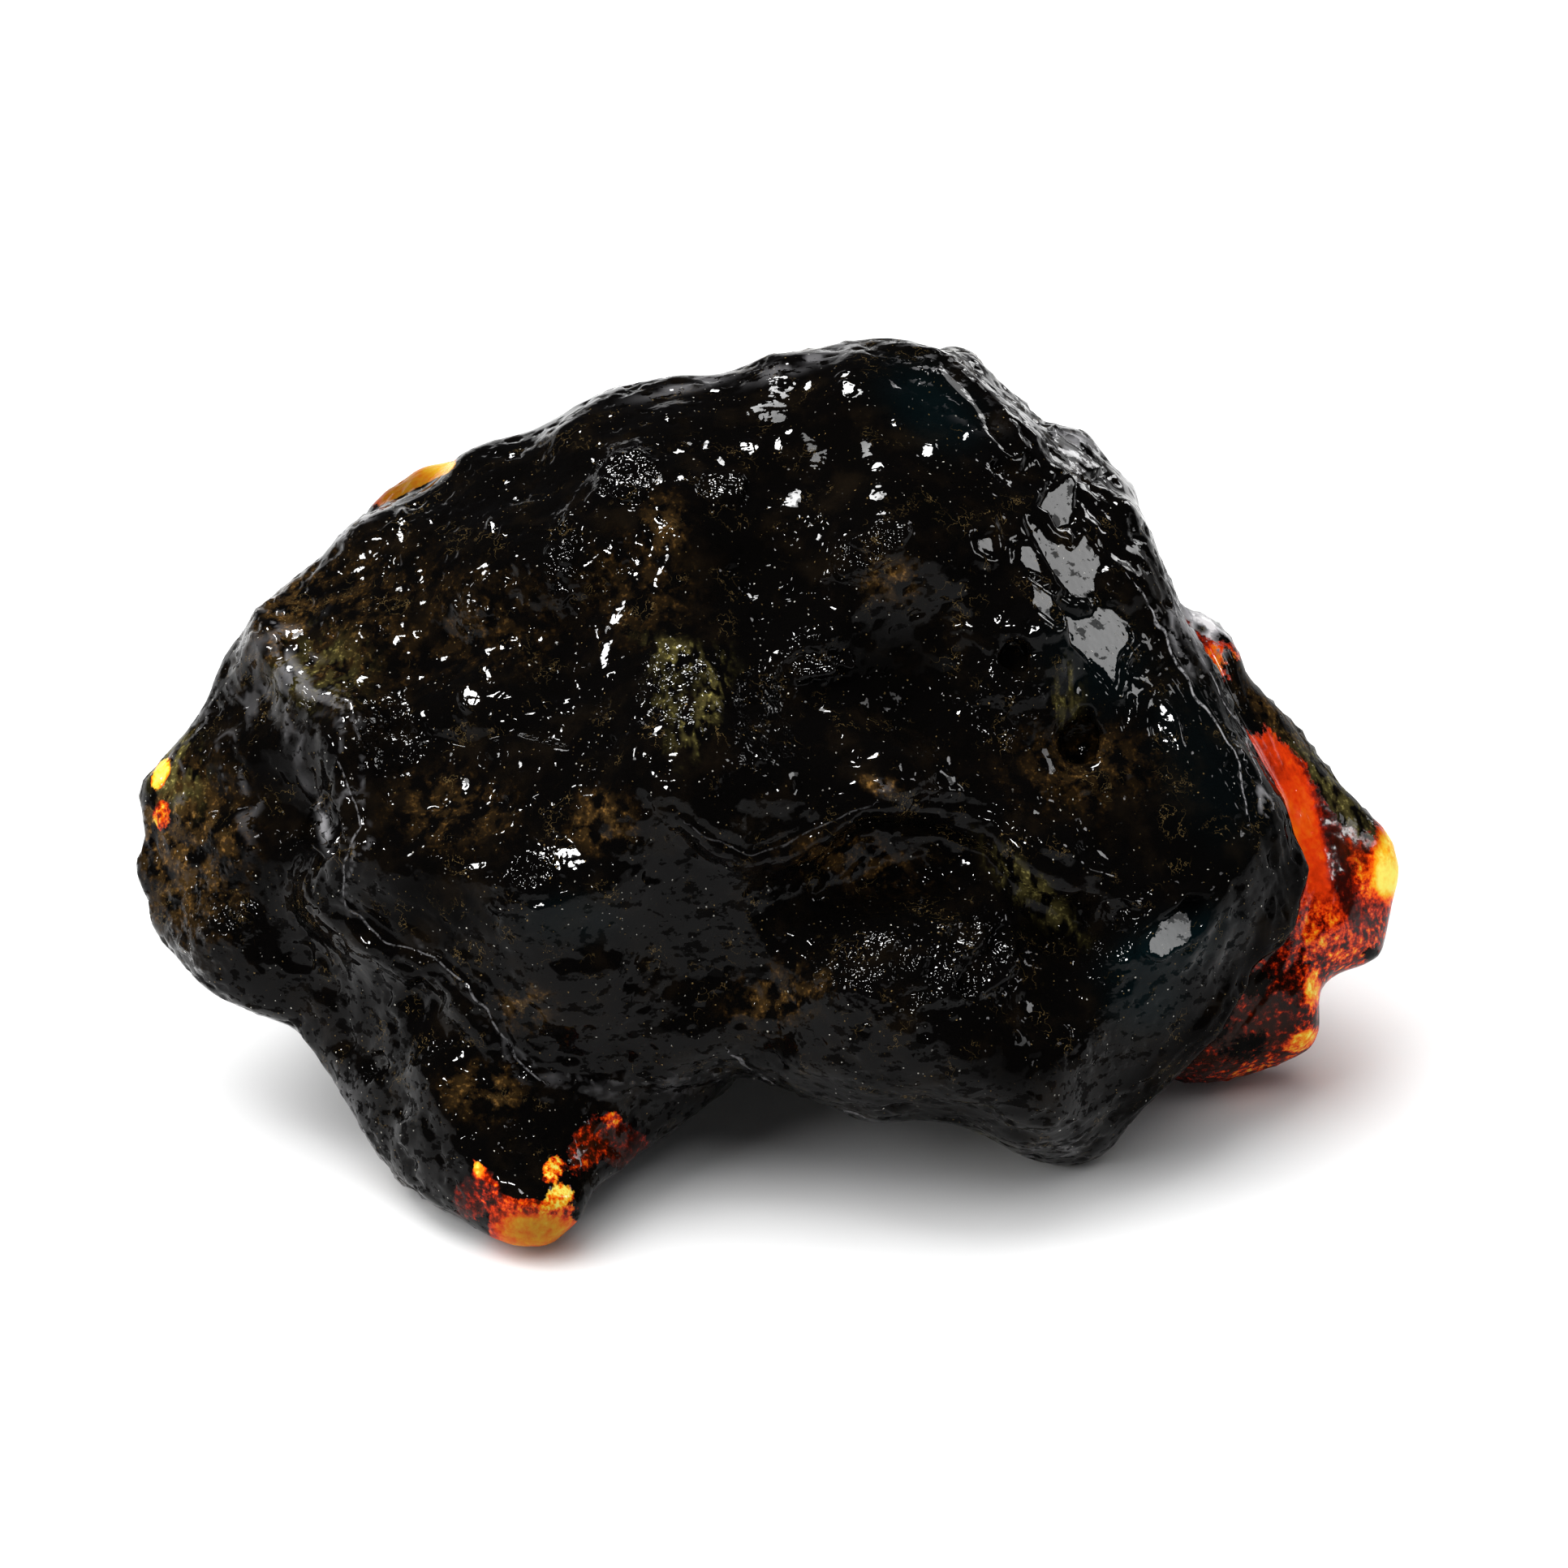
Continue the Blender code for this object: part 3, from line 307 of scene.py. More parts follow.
OLIVE = [
    (-5.3, 36.9, 2.4, 0.7, -15, 1), (-3.6, 34.5, 0.8, 2.2, -12, 1.2), (-4.9, 32, 0.9, 1.5, -30, 1),
    (-6.4, 34.6, 0.9, 2, 10, 0.5), (-27.5, 36, 2.6, 2, 0, 0.5), (16, 22.2, 3.4, 0.9, -45, 1),
    (-36.5, 30, 1.5, 2.4, 15, 1.4), (34.3, 28.6, 3.4, 0.8, -53, 0.9), (36, 26, 1.4, 0.8, -53, 0.8),
    (18.2, 34.4, 0.8, 1.6, 0, 0.8),
]
SHADES = [  # where the painted glow of the clear amber is dimmed towards umber
    (-14.5, 1.4, 3.2, 1.8, 0, 0.66), (-11.2, 6, 2, 2.4, -35, 0.35), (-37.1, 26.6, 1.5, 1.8, 0, 0.4),
    (29, 13, 4, 4, 0, 0.3), (36.4, 26, 1.3, 1.3, -50, 0.65), (35.6, 24.8, 0.8, 1.6, 20, 0.5),
    (-22.6, 46.6, 3.6, 2.6, 20, 0.85),
]
TEALS = [
    (9.8, 52.3, 3.5, 2, -35, 0.6), (24.5, 18.6, 4, 1.8, 25, 1), (23, 15.5, 2.5, 2, 40, 0.8),
    (20, 36.5, 3, 3.5, 40, 0.4), (27, 30, 3, 6, 25, 0.3), (-12, 20.5, 3, 1.5, 0, 0.5),
]
DARKS = [  # where the skin is too dry to mirror the room
    (7.5, 35.8, 5, 3, 0, 1), (0, 42.3, 4, 2.8, 0, 0.9), (15, 12.3, 3.2, 2.8, 0, 0.9),
    (-20.5, 21.3, 3.6, 3.4, 0, 0.9), (-17.5, 30.8, 3, 1.4, 0, 0.7), (26.5, 23.5, 3, 4, 0, 0.8),
    (17.5, 32, 2.5, 2.5, 0, 0.7), (-11, 30.5, 3, 2, 0, 0.3), (17.5, 18, 2.5, 3, 0, 0.7),
    (2.5, 50.4, 7, 4.2, 0, 1), (9.5, 47, 4, 3, 0, 0.8), (-31.6, 27.5, 4, 5.5, 0, 1),
    (9, 9.2, 6, 1.8, -10, 0.6), (9.6, 53, 2.4, 1.2, -35, 0.6),
]
TEARS = [  # where the wet film is torn by many holes
    (9.8, 54, 5, 2, -30, 3), (18.5, 49.5, 2.5, 1.6, -30, 2.2), (1, 24, 4.5, 2.2, 15, 1),
    (-3, 20.5, 4, 4, 0, 0.4), (20, 26, 4, 3, -40, 0.9), (-10, 31.5, 5, 2.5, -10, 0.9),
    (-26, 12, 5, 5, 40, 0.6), (24, 23.5, 4, 4, 0, 0.8), (-18, 15, 4, 3, -40, 0.4),
    (16, 9.5, 6, 2, 0, 0.5), (-9, 14, 5, 2.5, 10, 0.3),
]
SHEEN_PATCHES = [  # painted sheen that stands in for reflections on the wet skin; a painted white reflection where the strength passes 1
    (27, 38.7, 1.9, 1.2, -35, 2), (18.8, 50, 1.6, 0.9, -15, 0.9), (10.5, 53.8, 3.2, 1, -40, 0.35),
    (2, 55, 3, 0.5, 20, 0.35), (-5, 53.6, 3, 0.4, 15, 0.3), (-25.8, 44.6, 1.6, 0.4, 30, 0.5),
    (-27.3, 26.3, 0.35, 1.4, 10, 0.8), (-27, 9, 1.5, 2.2, 30, 0.25),
    (7.2, 28.7, 0.9, 0.3, -20, 0.4),
]
# Where the clear flange begins and is whole.
FLANGE_LEFT = (22.5, 25)
FLANGE_FRONT = (-11.8, -13)
FLANGE_TOP = (41, 38)
FLANGE_TIP = (37.7, 23.7, 2, 3, 0, 1)
# A line is (across, up, slope).
TOE_LINE = (-14.5, 2.8, -0.35)  # the crust ends here above the clear toe
TOE_LEFT = -17.2
TOE_TIP = (-14.3, 1.2, 3, 1.6, 0, 0.9)
GOLDEN_KNOB = (-21.9, 47.4, 3, 2.1, 0)  # (across, up, half width, half height, turn)
KNOB_FRONT = -15  # the knob lies behind this
KNOB_LINE = (-24.6, 45.5, 0.5)  # the crust in front of the knob ends here
KNOB_CORNER = (-17, 43)  # the line counts to the left of this and above it
BARE_GLOW, BARE_FLECK = 0.3, 0.55  # of a window without glows of its own
LIP_CLEARNESS, FLANGE_CLEARNESS = 0.12, 0.34


# --- Helpers: noise that repeats ---

def lattice(cells, seed):
    """A repeatable number from 0 to 1 for each whole-number cell."""
    mixed = (cells[..., 0] * 73856093) ^ (cells[..., 1] * 19349663) ^ (cells[..., 2] * 83492791)
    mixed = (mixed ^ (seed * 374761393)) & 0xFFFFFFFF
    mixed = ((mixed ^ (mixed >> 15)) * 2246822519) & 0xFFFFFFFF
    mixed = ((mixed ^ (mixed >> 13)) * 3266489917) & 0xFFFFFFFF
    return (mixed ^ (mixed >> 16)) / 0xFFFFFFFF


def soft_noise(points, wavelength, seed):
    """Smooth noise from -1 to 1."""
    scaled = points / wavelength
    cell = np.floor(scaled).astype(np.int64)
    part = scaled - cell
    part = part**3 * (part * (part * 6 - 15) + 10)
    total = np.zeros(len(points))
    for corner in np.ndindex(2, 2, 2):
        weight = np.prod(np.where(np.array(corner) == 1, part, 1 - part), axis=1)
        total += weight * lattice(cell + np.array(corner), seed)
    return 2 * total - 1


def layered_noise(points, layers):
    """Soft noises added up, each at its own height."""
    return sum(height * soft_noise(points, wavelength, seed)
               for height, wavelength, seed in layers)


def ridged_noise(points, wavelength, seed):
    """Noise from 0 to 1 with sharp crests."""
    return 1 - np.abs(soft_noise(points, wavelength, seed))


def nearest_grain(points, size, seed):
    """Each point's distance to the nearest scattered grain, in grain sizes, and its number."""
    scaled = points / size
    cell = np.floor(scaled).astype(np.int64)
    best = np.full(len(points), np.inf)
    number = np.zeros(len(points))
    for step in np.ndindex(3, 3, 3):
        there = cell + np.array(step) - 1
        grain = there + np.column_stack([lattice(there, seed + axis) for axis in range(3)])
        gap = np.linalg.norm(scaled - grain, axis=1)
        nearer = gap < best
        best = np.where(nearer, gap, best)
        number = np.where(nearer, lattice(there, seed + 3), number)
    return best, number


def ease(low, high, value):
    """A smooth step: 0 at low and 1 at high, which may be the smaller of the two."""
    share = np.clip((value - low) / (high - low), 0.0, 1.0)
    return share * share * (3 - 2 * share)


# --- Helpers: meshes ---

def points_of(mesh):
    points = np.empty(len(mesh.vertices) * 3)
    mesh.vertices.foreach_get("co", points)
    return points.reshape(-1, 3)


def normals_of(mesh):
    normals = np.empty(len(mesh.vertices) * 3, np.float32)
    mesh.vertex_normals.foreach_get("vector", normals)
    return normals.reshape(-1, 3).astype(float)


def set_points(mesh, points):
    mesh.vertices.foreach_set("co", points.ravel())
    mesh.update()


def store(mesh, name, values):
    """Keep one value for each vertex as an attribute that the material can read."""
    attribute = mesh.attributes.new(name, "FLOAT", "POINT")
    attribute.data.foreach_set("value", values.astype(np.float32))


def held(mesh):
    """A passing object that holds the mesh for its modifiers."""
    holder = bpy.data.objects.new("holder", mesh)
    bpy.context.scene.collection.objects.link(holder)
    return holder


def modified(holder):
    """The holder's mesh after its modifiers, as a new mesh. The holder goes."""
    graph = bpy.context.evaluated_depsgraph_get()
    made = bpy.data.meshes.new_from_object(holder.evaluated_get(graph))
    bpy.data.objects.remove(holder)
    return made


# --- Helpers: drawing and room ---

def room_to_drawing(room):
    """Points in the room, in drawing units, as drawn points."""
    height = room[:, 2] - FLOOR_DROP
    up = room[:, 1] * EYE_RISE + height * EYE_RUN
    near = height * EYE_RISE - room[:, 1] * EYE_RUN
    spread = 1.0 - near / EYE_DISTANCE
    return np.column_stack((
        EYE_AXIS[0] + (room[:, 0] - EYE_AXIS[0]) / spread,
        EYE_AXIS[1] + (up - EYE_AXIS[1]) / spread,
        near,
    ))


def eye_place():
    """Where the eye is in the room, in drawing units."""
    return np.array((
        EYE_AXIS[0],
        EYE_AXIS[1] * EYE_RISE - EYE_DISTANCE * EYE_RUN,
        EYE_AXIS[1] * EYE_RUN + EYE_DISTANCE * EYE_RISE + FLOOR_DROP,
    ))


def facing_eye(normals):
    """1 where the skin faces the eye squarely, 0 at the outline, negative behind."""
    return normals[:, 2] * EYE_RISE - normals[:, 1] * EYE_RUN


def front_share(facing):
    """1 on the side that faces the eye, 0 behind, blended at the outline."""
    return ease(-0.05, 0.25, facing)


def patch_place(drawn, across, up, half_width, half_height, turn):
    """How far drawn points lie along and over a patch's turned axes: 1 is half its size."""
    angle = math.radians(turn)
    away = drawn[:, :2] - (across, up)
    along = (away[:, 0] * math.cos(angle) + away[:, 1] * math.sin(angle)) / half_width
    over = (away[:, 1] * math.cos(angle) - away[:, 0] * math.sin(angle)) / half_height
    return along, over


def patch(drawn, *row):
    """A soft spot: its strength at the patch's middle, fading to 0 around it."""
    *place, strength = row
    along, over = patch_place(drawn, *place)
    return strength * np.exp(-((along**2 + over**2) ** 1.5))


def patches(drawn, rows):
    """The strongest of many patches."""
    return np.max([patch(drawn, *row) for row in rows], axis=0)


def above_line(drawn, line):
    """How far up a drawn point lies from a sloping line."""
    across, up, slope = line
    return drawn[:, 1] - up - slope * (drawn[:, 0] - across)


def gap_to_path(drawn, path):
    """Each point's distance to a polyline, how far along it that is, and its side: -1 is left."""
    flat = drawn[:, :2]
    best = np.full(len(flat), np.inf)
    place, side = np.zeros((2, len(flat)))
    walked = 0.0
    corners = np.array(path)
    for start, end in zip(corners[:-1], corners[1:]):
        run = end - start
        length = np.hypot(*run)
        along = np.clip((flat - start) @ run / length**2, 0.0, 1.0)
        away = flat - start - along[:, None] * run
        gap = np.hypot(away[:, 0], away[:, 1])
        nearer = gap < best
        best = np.where(nearer, gap, best)
        place = np.where(nearer, walked + along * length, place)
        side = np.where(nearer, np.where(run[0] * away[:, 1] > run[1] * away[:, 0], -1, 1), side)
        walked += length
    return best, place, side


def gap_to_loop(drawn, loop):
    """Each drawn point's distance to an outline, negative inside it."""
    gap = gap_to_path(drawn, loop + loop[:1])[0]
    inside = np.zeros(len(drawn), bool)
    across, up = drawn[:, 0], drawn[:, 1]
    for (x0, y0), (x1, y1) in zip(loop, loop[1:] + loop[:1]):
        if y0 != y1:
            crosses = (up > min(y0, y1)) & (up <= max(y0, y1))
            inside ^= crosses & (across < x0 + (up - y0) * (x1 - x0) / (y1 - y0))
    return np.where(inside, -gap, gap)


# --- The relief ---

def pebbly_zone(room, drawn, front):
    """1 where the skin is pebbly, 0 where it is a smooth wet film."""
    ragged = layered_noise(room, RAGGED_EDGES)
    seen = patches(drawn, PEBBLES) + 0.45 * ragged
    unseen = 0.35 + 0.55 * soft_noise(room, 9.0, 13) + 0.4 * ragged
    return front * ease(0.25, 0.55, seen) + (1 - front) * ease(0.3, 0.7, unseen)


def pocks(room, size, share, seed):
    """Scattered ragged pits of depth 1: in that share of the cells, about half a size wide."""
    bent = room + 0.25 * size * np.column_stack([
        soft_noise(room, 0.5 * size, seed + axis) for axis in range(3)])
    grain, number = nearest_grain(bent, size, seed + 3)
    return (number < share) * ease(0.46, 0.16, grain)


def strings_beside(room, drawn, path, reach, spacing, length, seed):
    """Fine strings that run along a path, from -0.6 to 0.4, fading at the reach."""
    gap, place, _ = gap_to_path(drawn, path)
    bent = gap + 0.5 * soft_noise(room, 3.0, seed + 1)
    strings = np.column_stack((bent / spacing, place / length, np.zeros(len(gap))))
    return np.exp(-((gap / reach) ** 2)) * (ridged_noise(strings, 1.0, seed) - 0.6)


def flank_strings(room, drawn):
    """1 on the crests of the wavy strings that hang down the left flank."""
    left = ease(-26.5, -29.0, drawn[:, 0]) * ease(22.0, 27.0, drawn[:, 1])
    warp = soft_noise(room, 2.5, 62)
    sheared = np.column_stack((
        (drawn[:, 0] + 0.30 * drawn[:, 1]) / 1.1 + 0.6 * warp,
        drawn[:, 1] / 5.0 + 0.3 * warp,
        drawn[:, 2] / 2.0,
    ))
    broken = ease(-0.5, 0.2, soft_noise(room, 1.3, 64))
    return left * broken * ease(0.80, 0.97, ridged_noise(sheared, 1.0, 63))


def wrinkles(room, drawn):
    """Stringy lines along the ridges, edges and rims, and down the left flank."""
    lines = sum(height * strings_beside(room, drawn, *row) for height, *row in WRINKLES)
    return lines + FLANK_HEIGHT * (flank_strings(room, drawn) - 0.2)


def waves(room, drawn, front, pebbly):
    """The rolling skin, with its ripples, small dents and pocks."""
    calm = np.minimum(front * patches(drawn, CALM), 1.0)
    busy = 1 - 0.85 * np.maximum(calm, flange_share(drawn))
    holes = sum(depth * pocks(room, *row) for depth, *row in POCKS)
    return (layered_noise(room, BROAD_WAVES) + busy * layered_noise(room, RIPPLES)
            + front * patches(drawn, DENTED) * layered_noise(room, DENTS)
            + front * patches(drawn, SWELLS) - (1 - pebbly) * busy * holes)


def pits_and_seams(room, drawn):
    """The dark holes and hollows, and the lips, grooves and small ridges drawn one by one."""
    out = np.zeros(len(room))
    uneven = soft_noise(room, 1.1, 52)
    for across, up, radius, depth in PITS:
        gap = np.hypot(drawn[:, 0] - across, drawn[:, 1] - up) + 0.35 * uneven * radius
        out -= depth * ease(radius * 1.15, radius * 0.55, gap)
    for height, half_width, path in SEAMS:
        out += height * np.exp(-((gap_to_path(drawn, path)[0] / half_width) ** 2))
    return out


def relief(room, drawn, facing):
    """How far the skin moves out along its normal, and where it is pebbly."""
    front = front_share(facing)
    pebbly = pebbly_zone(room, drawn, front)
    grain, _ = nearest_grain(room, 1.0, 31)
    pebbles = 0.30 * (0.5 - grain) + 0.12 * soft_noise(room, 0.8, 32)
    drawn_forms = wrinkles(room, drawn) + pits_and_seams(room, drawn)
    return waves(room, drawn, front, pebbly) + pebbly * pebbles + front * drawn_forms, pebbly


# --- The mirrors ---

def unit(vector):
    return vector / np.linalg.norm(vector)


def lamp_direction(azimuth, elevation):
    """The way towards a far lamp: azimuth 0 is behind the eye, 90 its right-hand side."""
    turn, tilt = math.radians(azimuth), math.radians(elevation)
    level = math.cos(tilt)
    return np.array((math.sin(turn) * level, -math.cos(turn) * level, math.sin(tilt)))


def mirror_facing(centre, normal, lamps):
    """The way to face to mirror a lamp to the eye, for the lamp that needs the least turn."""
    sight = unit(centre - eye_place())
    mirrors = [unit(lamp_direction(azimuth, elevation) - sight)
               for _, azimuth, elevation, _, _ in lamps]
    return max(mirrors, key=lambda mirror: float(mirror @ normal))


def face_flat(room, normals, drawn, facing, share, lamps, bulge):
    """The skin, with the part that has a share made a plane that mirrors a lamp to the eye."""
    chosen = (share > 0.5) & (facing > 0.0)
    if chosen.sum() < 3:
        return room
    near = drawn[:, 2]
    nearest = near[chosen].max()
    fitted = chosen & (near > nearest - FACET_DEPTH)
    centre = room[fitted].mean(axis=0)
    mirror = mirror_facing(centre, unit(normals[fitted].mean(axis=0)), lamps)
    share = share * ease(0.08, 0.25, facing) * (near > nearest - FACET_REACH)
    lift = -((room - centre) @ mirror) / np.maximum(normals @ mirror, 0.5)
    lift += layered_noise(room, [FACET_RIPPLE]) - bulge * ((room - centre) ** 2).sum(axis=1)
    return room + (share * np.clip(lift, -MOST_LIFT, MOST_LIFT))[:, None] * normals


def shore(room, facing, gap):
    """How far the skin rises round the pools: a lumpy bank with a lip beside the water."""
    bank = ease(0.0, 0.4, gap) * ease(3.2, 1.6, gap) * ease(0.05, 0.3, facing)
    lip = SHORE_LIP * np.exp(-(((gap - 0.55) / 0.35) ** 2))
    return bank * (layered_noise(room, SHORE_LUMPS) + lip)


def with_pools(room, normals, drawn, facing):
    """The skin with its pools and their shores, and how far each point is in a pool."""
    named = {lamp[0]: lamp for lamp in [*GLINT_LAMPS, BACK_PANEL]}
    gaps = [gap_to_loop(drawn, outline) for _, outline in POOLS]
    room = room + shore(room, facing, np.min(gaps, axis=0))[:, None] * normals
    flat = np.zeros(len(room))
    for (lamp, _), gap in zip(POOLS, gaps):
        share = ease(0.26, -0.05, gap)
        room = face_flat(room, normals, drawn, facing, share, [named[lamp]], POOL_BULGE)
        flat = np.maximum(flat, share)
    return room, flat


def with_glints(room, normals, drawn, facing):
    """The skin with its curls and glints, and how far each point is on one and crumpled."""
    lit = np.zeros(len(room))
    rows = [(CURL_CRUMPLE, row) for row in CURLS] + [(1.0, row) for row in GLINTS]
    for crumple, row in rows:
        share = ease(1.5, 0.8, np.hypot(*patch_place(drawn, *row)))
        room = face_flat(room, normals, drawn, facing, share, GLINT_LAMPS[1:], 0.0)
        lit += share * (crumple - lit)
    return room, lit


# --- The zones that the material reads ---

def flange_share(drawn):
    """1 on the clear flange behind the right end, from both sides."""
    across, up, near = drawn.T
    return ease(*FLANGE_LEFT, across) * ease(*FLANGE_FRONT, near) * ease(*FLANGE_TOP, up)


def toe_window(drawn):
    """1 on the clear tip of the front foot."""
    toe = ease(0.3, -0.3, above_line(drawn, TOE_LINE))
    toe *= ease(TOE_LEFT - 0.4, TOE_LEFT + 0.4, drawn[:, 0])
    return np.maximum(toe, patch(drawn, *TOE_TIP))


def knob_window(drawn):
    """1 on the golden knob behind the upper left edge."""
    gap = np.hypot(*patch_place(drawn, *GOLDEN_KNOB))
    return ease(1.15, 0.8, gap) * (drawn[:, 2] < KNOB_FRONT)


def window_zone(drawn, facing):
    """1 where the crust is missing and the clear amber shows."""
    across, up, _ = drawn.T
    flange = flange_share(drawn) * (1 - 0.9 * patches(drawn, FLANGE_CRUST))
    lips = np.max([patch(drawn, *row[:5], 1.0) for row in LIP_GLOWS], axis=0)
    lips *= ease(-0.05, 0.2, facing)
    windows = [flange, toe_window(drawn), knob_window(drawn), lips]
    beside_knob = (across < KNOB_CORNER[0]) & (up > KNOB_CORNER[1])
    uncovered = np.where(beside_knob, ease(0.0, 0.35, above_line(drawn, KNOB_LINE)), 1.0)
    return uncovered * np.clip(np.max(windows, axis=0), 0.0, 1.0)


def glow_zones(drawn):
    """How bright the painted glow of the clear amber is, 0 dark to 1 yellow, and how flecked."""
    level = np.full(len(drawn), BARE_GLOW)
    fleck = np.full(len(drawn), BARE_FLECK)
    flange = flange_share(drawn)
    rows = [(row, flange) for row in FLANGE_GLOWS] + [(row, 1 - flange) for row in LIP_GLOWS]
    for row, where in rows:
        *place, row_level, row_fleck = row
        share = where * np.clip(1.3 * patch(drawn, *place, 1.0), 0.0, 1.0)
        level += share * (row_level - level)
        fleck += share * (row_fleck - fleck)
    return level, fleck


def clear_zone(drawn):
    """How much light a window lets straight through: the flange most, the thin lips less."""
    across, up, _ = drawn.T
    flange = ease(20.0, 24.0, across) * ease(14.0, 22.0, up)
    clearness = LIP_CLEARNESS + (FLANGE_CLEARNESS - LIP_CLEARNESS) * flange
    return clearness * (1 - patch(drawn, *FLANGE_TIP))


def dry_zone(drawn, front, window):
    """Where the wet film is thin: the right edge, the windows, the flange and dark places."""
    flange = flange_share(drawn)
    edge_gap = gap_to_path(drawn, RIGHT_EDGE[3:])[0]
    edge = 0.95 * front * np.exp(-((edge_gap - 0.5) / 1.7) ** 2)
    lower_flange = ease(38.5, 36.5, drawn[:, 1])
    return np.max([edge * (1 - flange), 0.75 * window * (1 - flange),
                   flange * (0.36 + 0.36 * lower_flange), front * patches(drawn, DARKS)], axis=0)


def sheen_zone(room, drawn):
    """How strong the painted sheen is: on fine strings up to 1, in patches up to 2, where it turns to
    a painted white reflection.
    """
    ridge = ease(0.22, 0.40, strings_beside(room, drawn, MAIN_RIDGE, 1.4, 0.45, 4.0, 111))
    ridge *= 0.12 + 0.24 * ease(21.0, 27.0, drawn[:, 1])
    edge = 0.7 * ease(0.24, 0.40, strings_beside(room, drawn, RIGHT_EDGE[3:7], 1.6, 0.5, 6.0, 113))
    rim = 0.25 * ease(0.15, 0.38, strings_beside(room, drawn, BOTTOM_RIM, 1.4, 0.6, 4.0, 115))
    bare = patches(drawn, SHEEN_PATCHES) * ease(-0.45, 0.15, soft_noise(room, 0.9, 117))
    flank = 0.13 * flank_strings(room, drawn)
    return np.max([ridge, edge, rim, bare, flank], axis=0)


def crack_zones(room, drawn):
    """How far a point is from the nearest crack, negative on its left, and how strong the painted
    highlight along it is.
    """
    walks = [gap_to_path(drawn, path) for _, path in CRACKS]
    gaps = np.array([gap for gap, _, _ in walks])
    nearest = gaps.argmin(axis=0)
    gap, side = gaps.min(axis=0), np.choose(nearest, [side for _, _, side in walks])
    sheen_levels = np.array([sheen_level for sheen_level, _ in CRACKS])[nearest]
    return side * gap + 0.25 * soft_noise(room, 1.3, 119), sheen_levels * ease(0.6, 0.35, gap)


def paint_zones(mesh):
    """Store each zone as an attribute of the finished skin."""
    room = points_of(mesh)
    drawn = room_to_drawing(room)
    facing = facing_eye(normals_of(mesh))
    front = front_share(facing)
    behind = 1 - front
    window = window_zone(drawn, facing)
    level, fleck = glow_zones(drawn)
    crack, crack_sheen = crack_zones(room, drawn)
    zones = {
        "window": window,
        # the clear amber's painted glow, its flecks, its clearness and where the glow is dimmed
        "glow": level,
        "fleck": fleck,
        "clear": clear_zone(drawn),
        "shade": patches(drawn, SHADES),
        # painted sheen, and painted highlights along the cracks
        "painted_sheen": front * sheen_zone(room, drawn),
        "crack": crack,
        "crack_sheen": front * crack_sheen,
        "dry": dry_zone(drawn, front, window),
        "tear": front * patches(drawn, TEARS),
        "teal": front * patches(drawn, TEALS),
        "ochre": front * patches(drawn, OCHRE) + behind * ease(0.0, 0.8, soft_noise(room, 9.0, 71)),
        "olive": front * patches(drawn, OLIVE) + behind * ease(0.3, 0.8, soft_noise(room, 7.0, 72)),
    }
    for name, values in zones.items():
        store(mesh, name, values)


# --- The lump ---

def fine_skin(node):
    """The node's solid as a fine mesh with melted facets, in drawing units."""
    coarse = node.data.copy()
    coarse.transform(Matrix.Scale(1 / METRE, 4))
    coarse.transform(Matrix.Translation(DRAWN_MIDDLE))
    holder = held(coarse)
    remesh = holder.modifiers.new("remesh", "REMESH")
    remesh.mode = "VOXEL"
    remesh.voxel_size = FINE_VOXEL
    smooth = holder.modifiers.new("smooth", "SMOOTH")
    smooth.factor = 0.5
    smooth.iterations = FACET_SMOOTH_STEPS
    return modified(holder)


def carve(skin):
    """Give the skin its relief and its mirrors. Returns 1 where it may be thinned, 0 where not."""
    room, normals = points_of(skin), normals_of(skin)
    drawn, facing = room_to_drawing(room), facing_eye(normals)
    out, pebbly = relief(room, drawn, facing)
    room, flat = with_pools(room + out[:, None] * normals, normals, drawn, facing)
    room, lit = with_glints(room, normals, drawn, facing)
    set_points(skin, room)
    store(skin, "film", np.maximum(1 - pebbly, flat))
    store(skin, "glint", lit)
    mirrors = np.where((flat > 0.02) | (lit > 0.02), 1.0, 0.0)
    return 1.0 - np.clip(mirrors + FRONT_KEPT * ease(-0.1, 0.2, facing), 0.0, 1.0)


def thinned(skin, plain):
    """The skin with at most the triangles allowed, taken first where it is plain."""
    skin.calc_loop_triangles()
    holder = held(skin)
    group = holder.vertex_groups.new(name="plain")
    for step in range(WEIGHT_STEPS + 1):
        chosen = np.nonzero(np.round(plain * WEIGHT_STEPS) == step)[0]
        group.add(chosen.tolist(), step / WEIGHT_STEPS, "REPLACE")
    thin = holder.modifiers.new("thin", "DECIMATE")
    thin.ratio = min(1.0, MOST_TRIANGLES / len(skin.loop_triangles))
    thin.use_collapse_triangulate = True
    thin.vertex_group = group.name
    return modified(holder)


def inside_the_solids_box(points):
    """The points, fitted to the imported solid's box."""
    low, high = np.array(BARE_BOX[0]), np.array(BARE_BOX[1])
    found_low, found_high = points.min(axis=0), points.max(axis=0)
    return low + (points - found_low) * (high - low) / (found_high - found_low)


def make_lump(node):
    """The dressed lump, in place of its node."""
    skin = fine_skin(node)
    plain = carve(skin)
    skin = thinned(skin, plain)
    paint_zones(skin)
    set_points(skin, inside_the_solids_box((points_of(skin) - DRAWN_MIDDLE) * METRE))
    skin.materials.clear()
    skin.materials.append(amber_material())
    skin.shade_smooth()
    lump = bpy.data.objects.new("amber_lump", skin)
    bpy.context.scene.collection.objects.link(lump)
    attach(lump, "root")
    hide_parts(NODE)


# --- The material ---

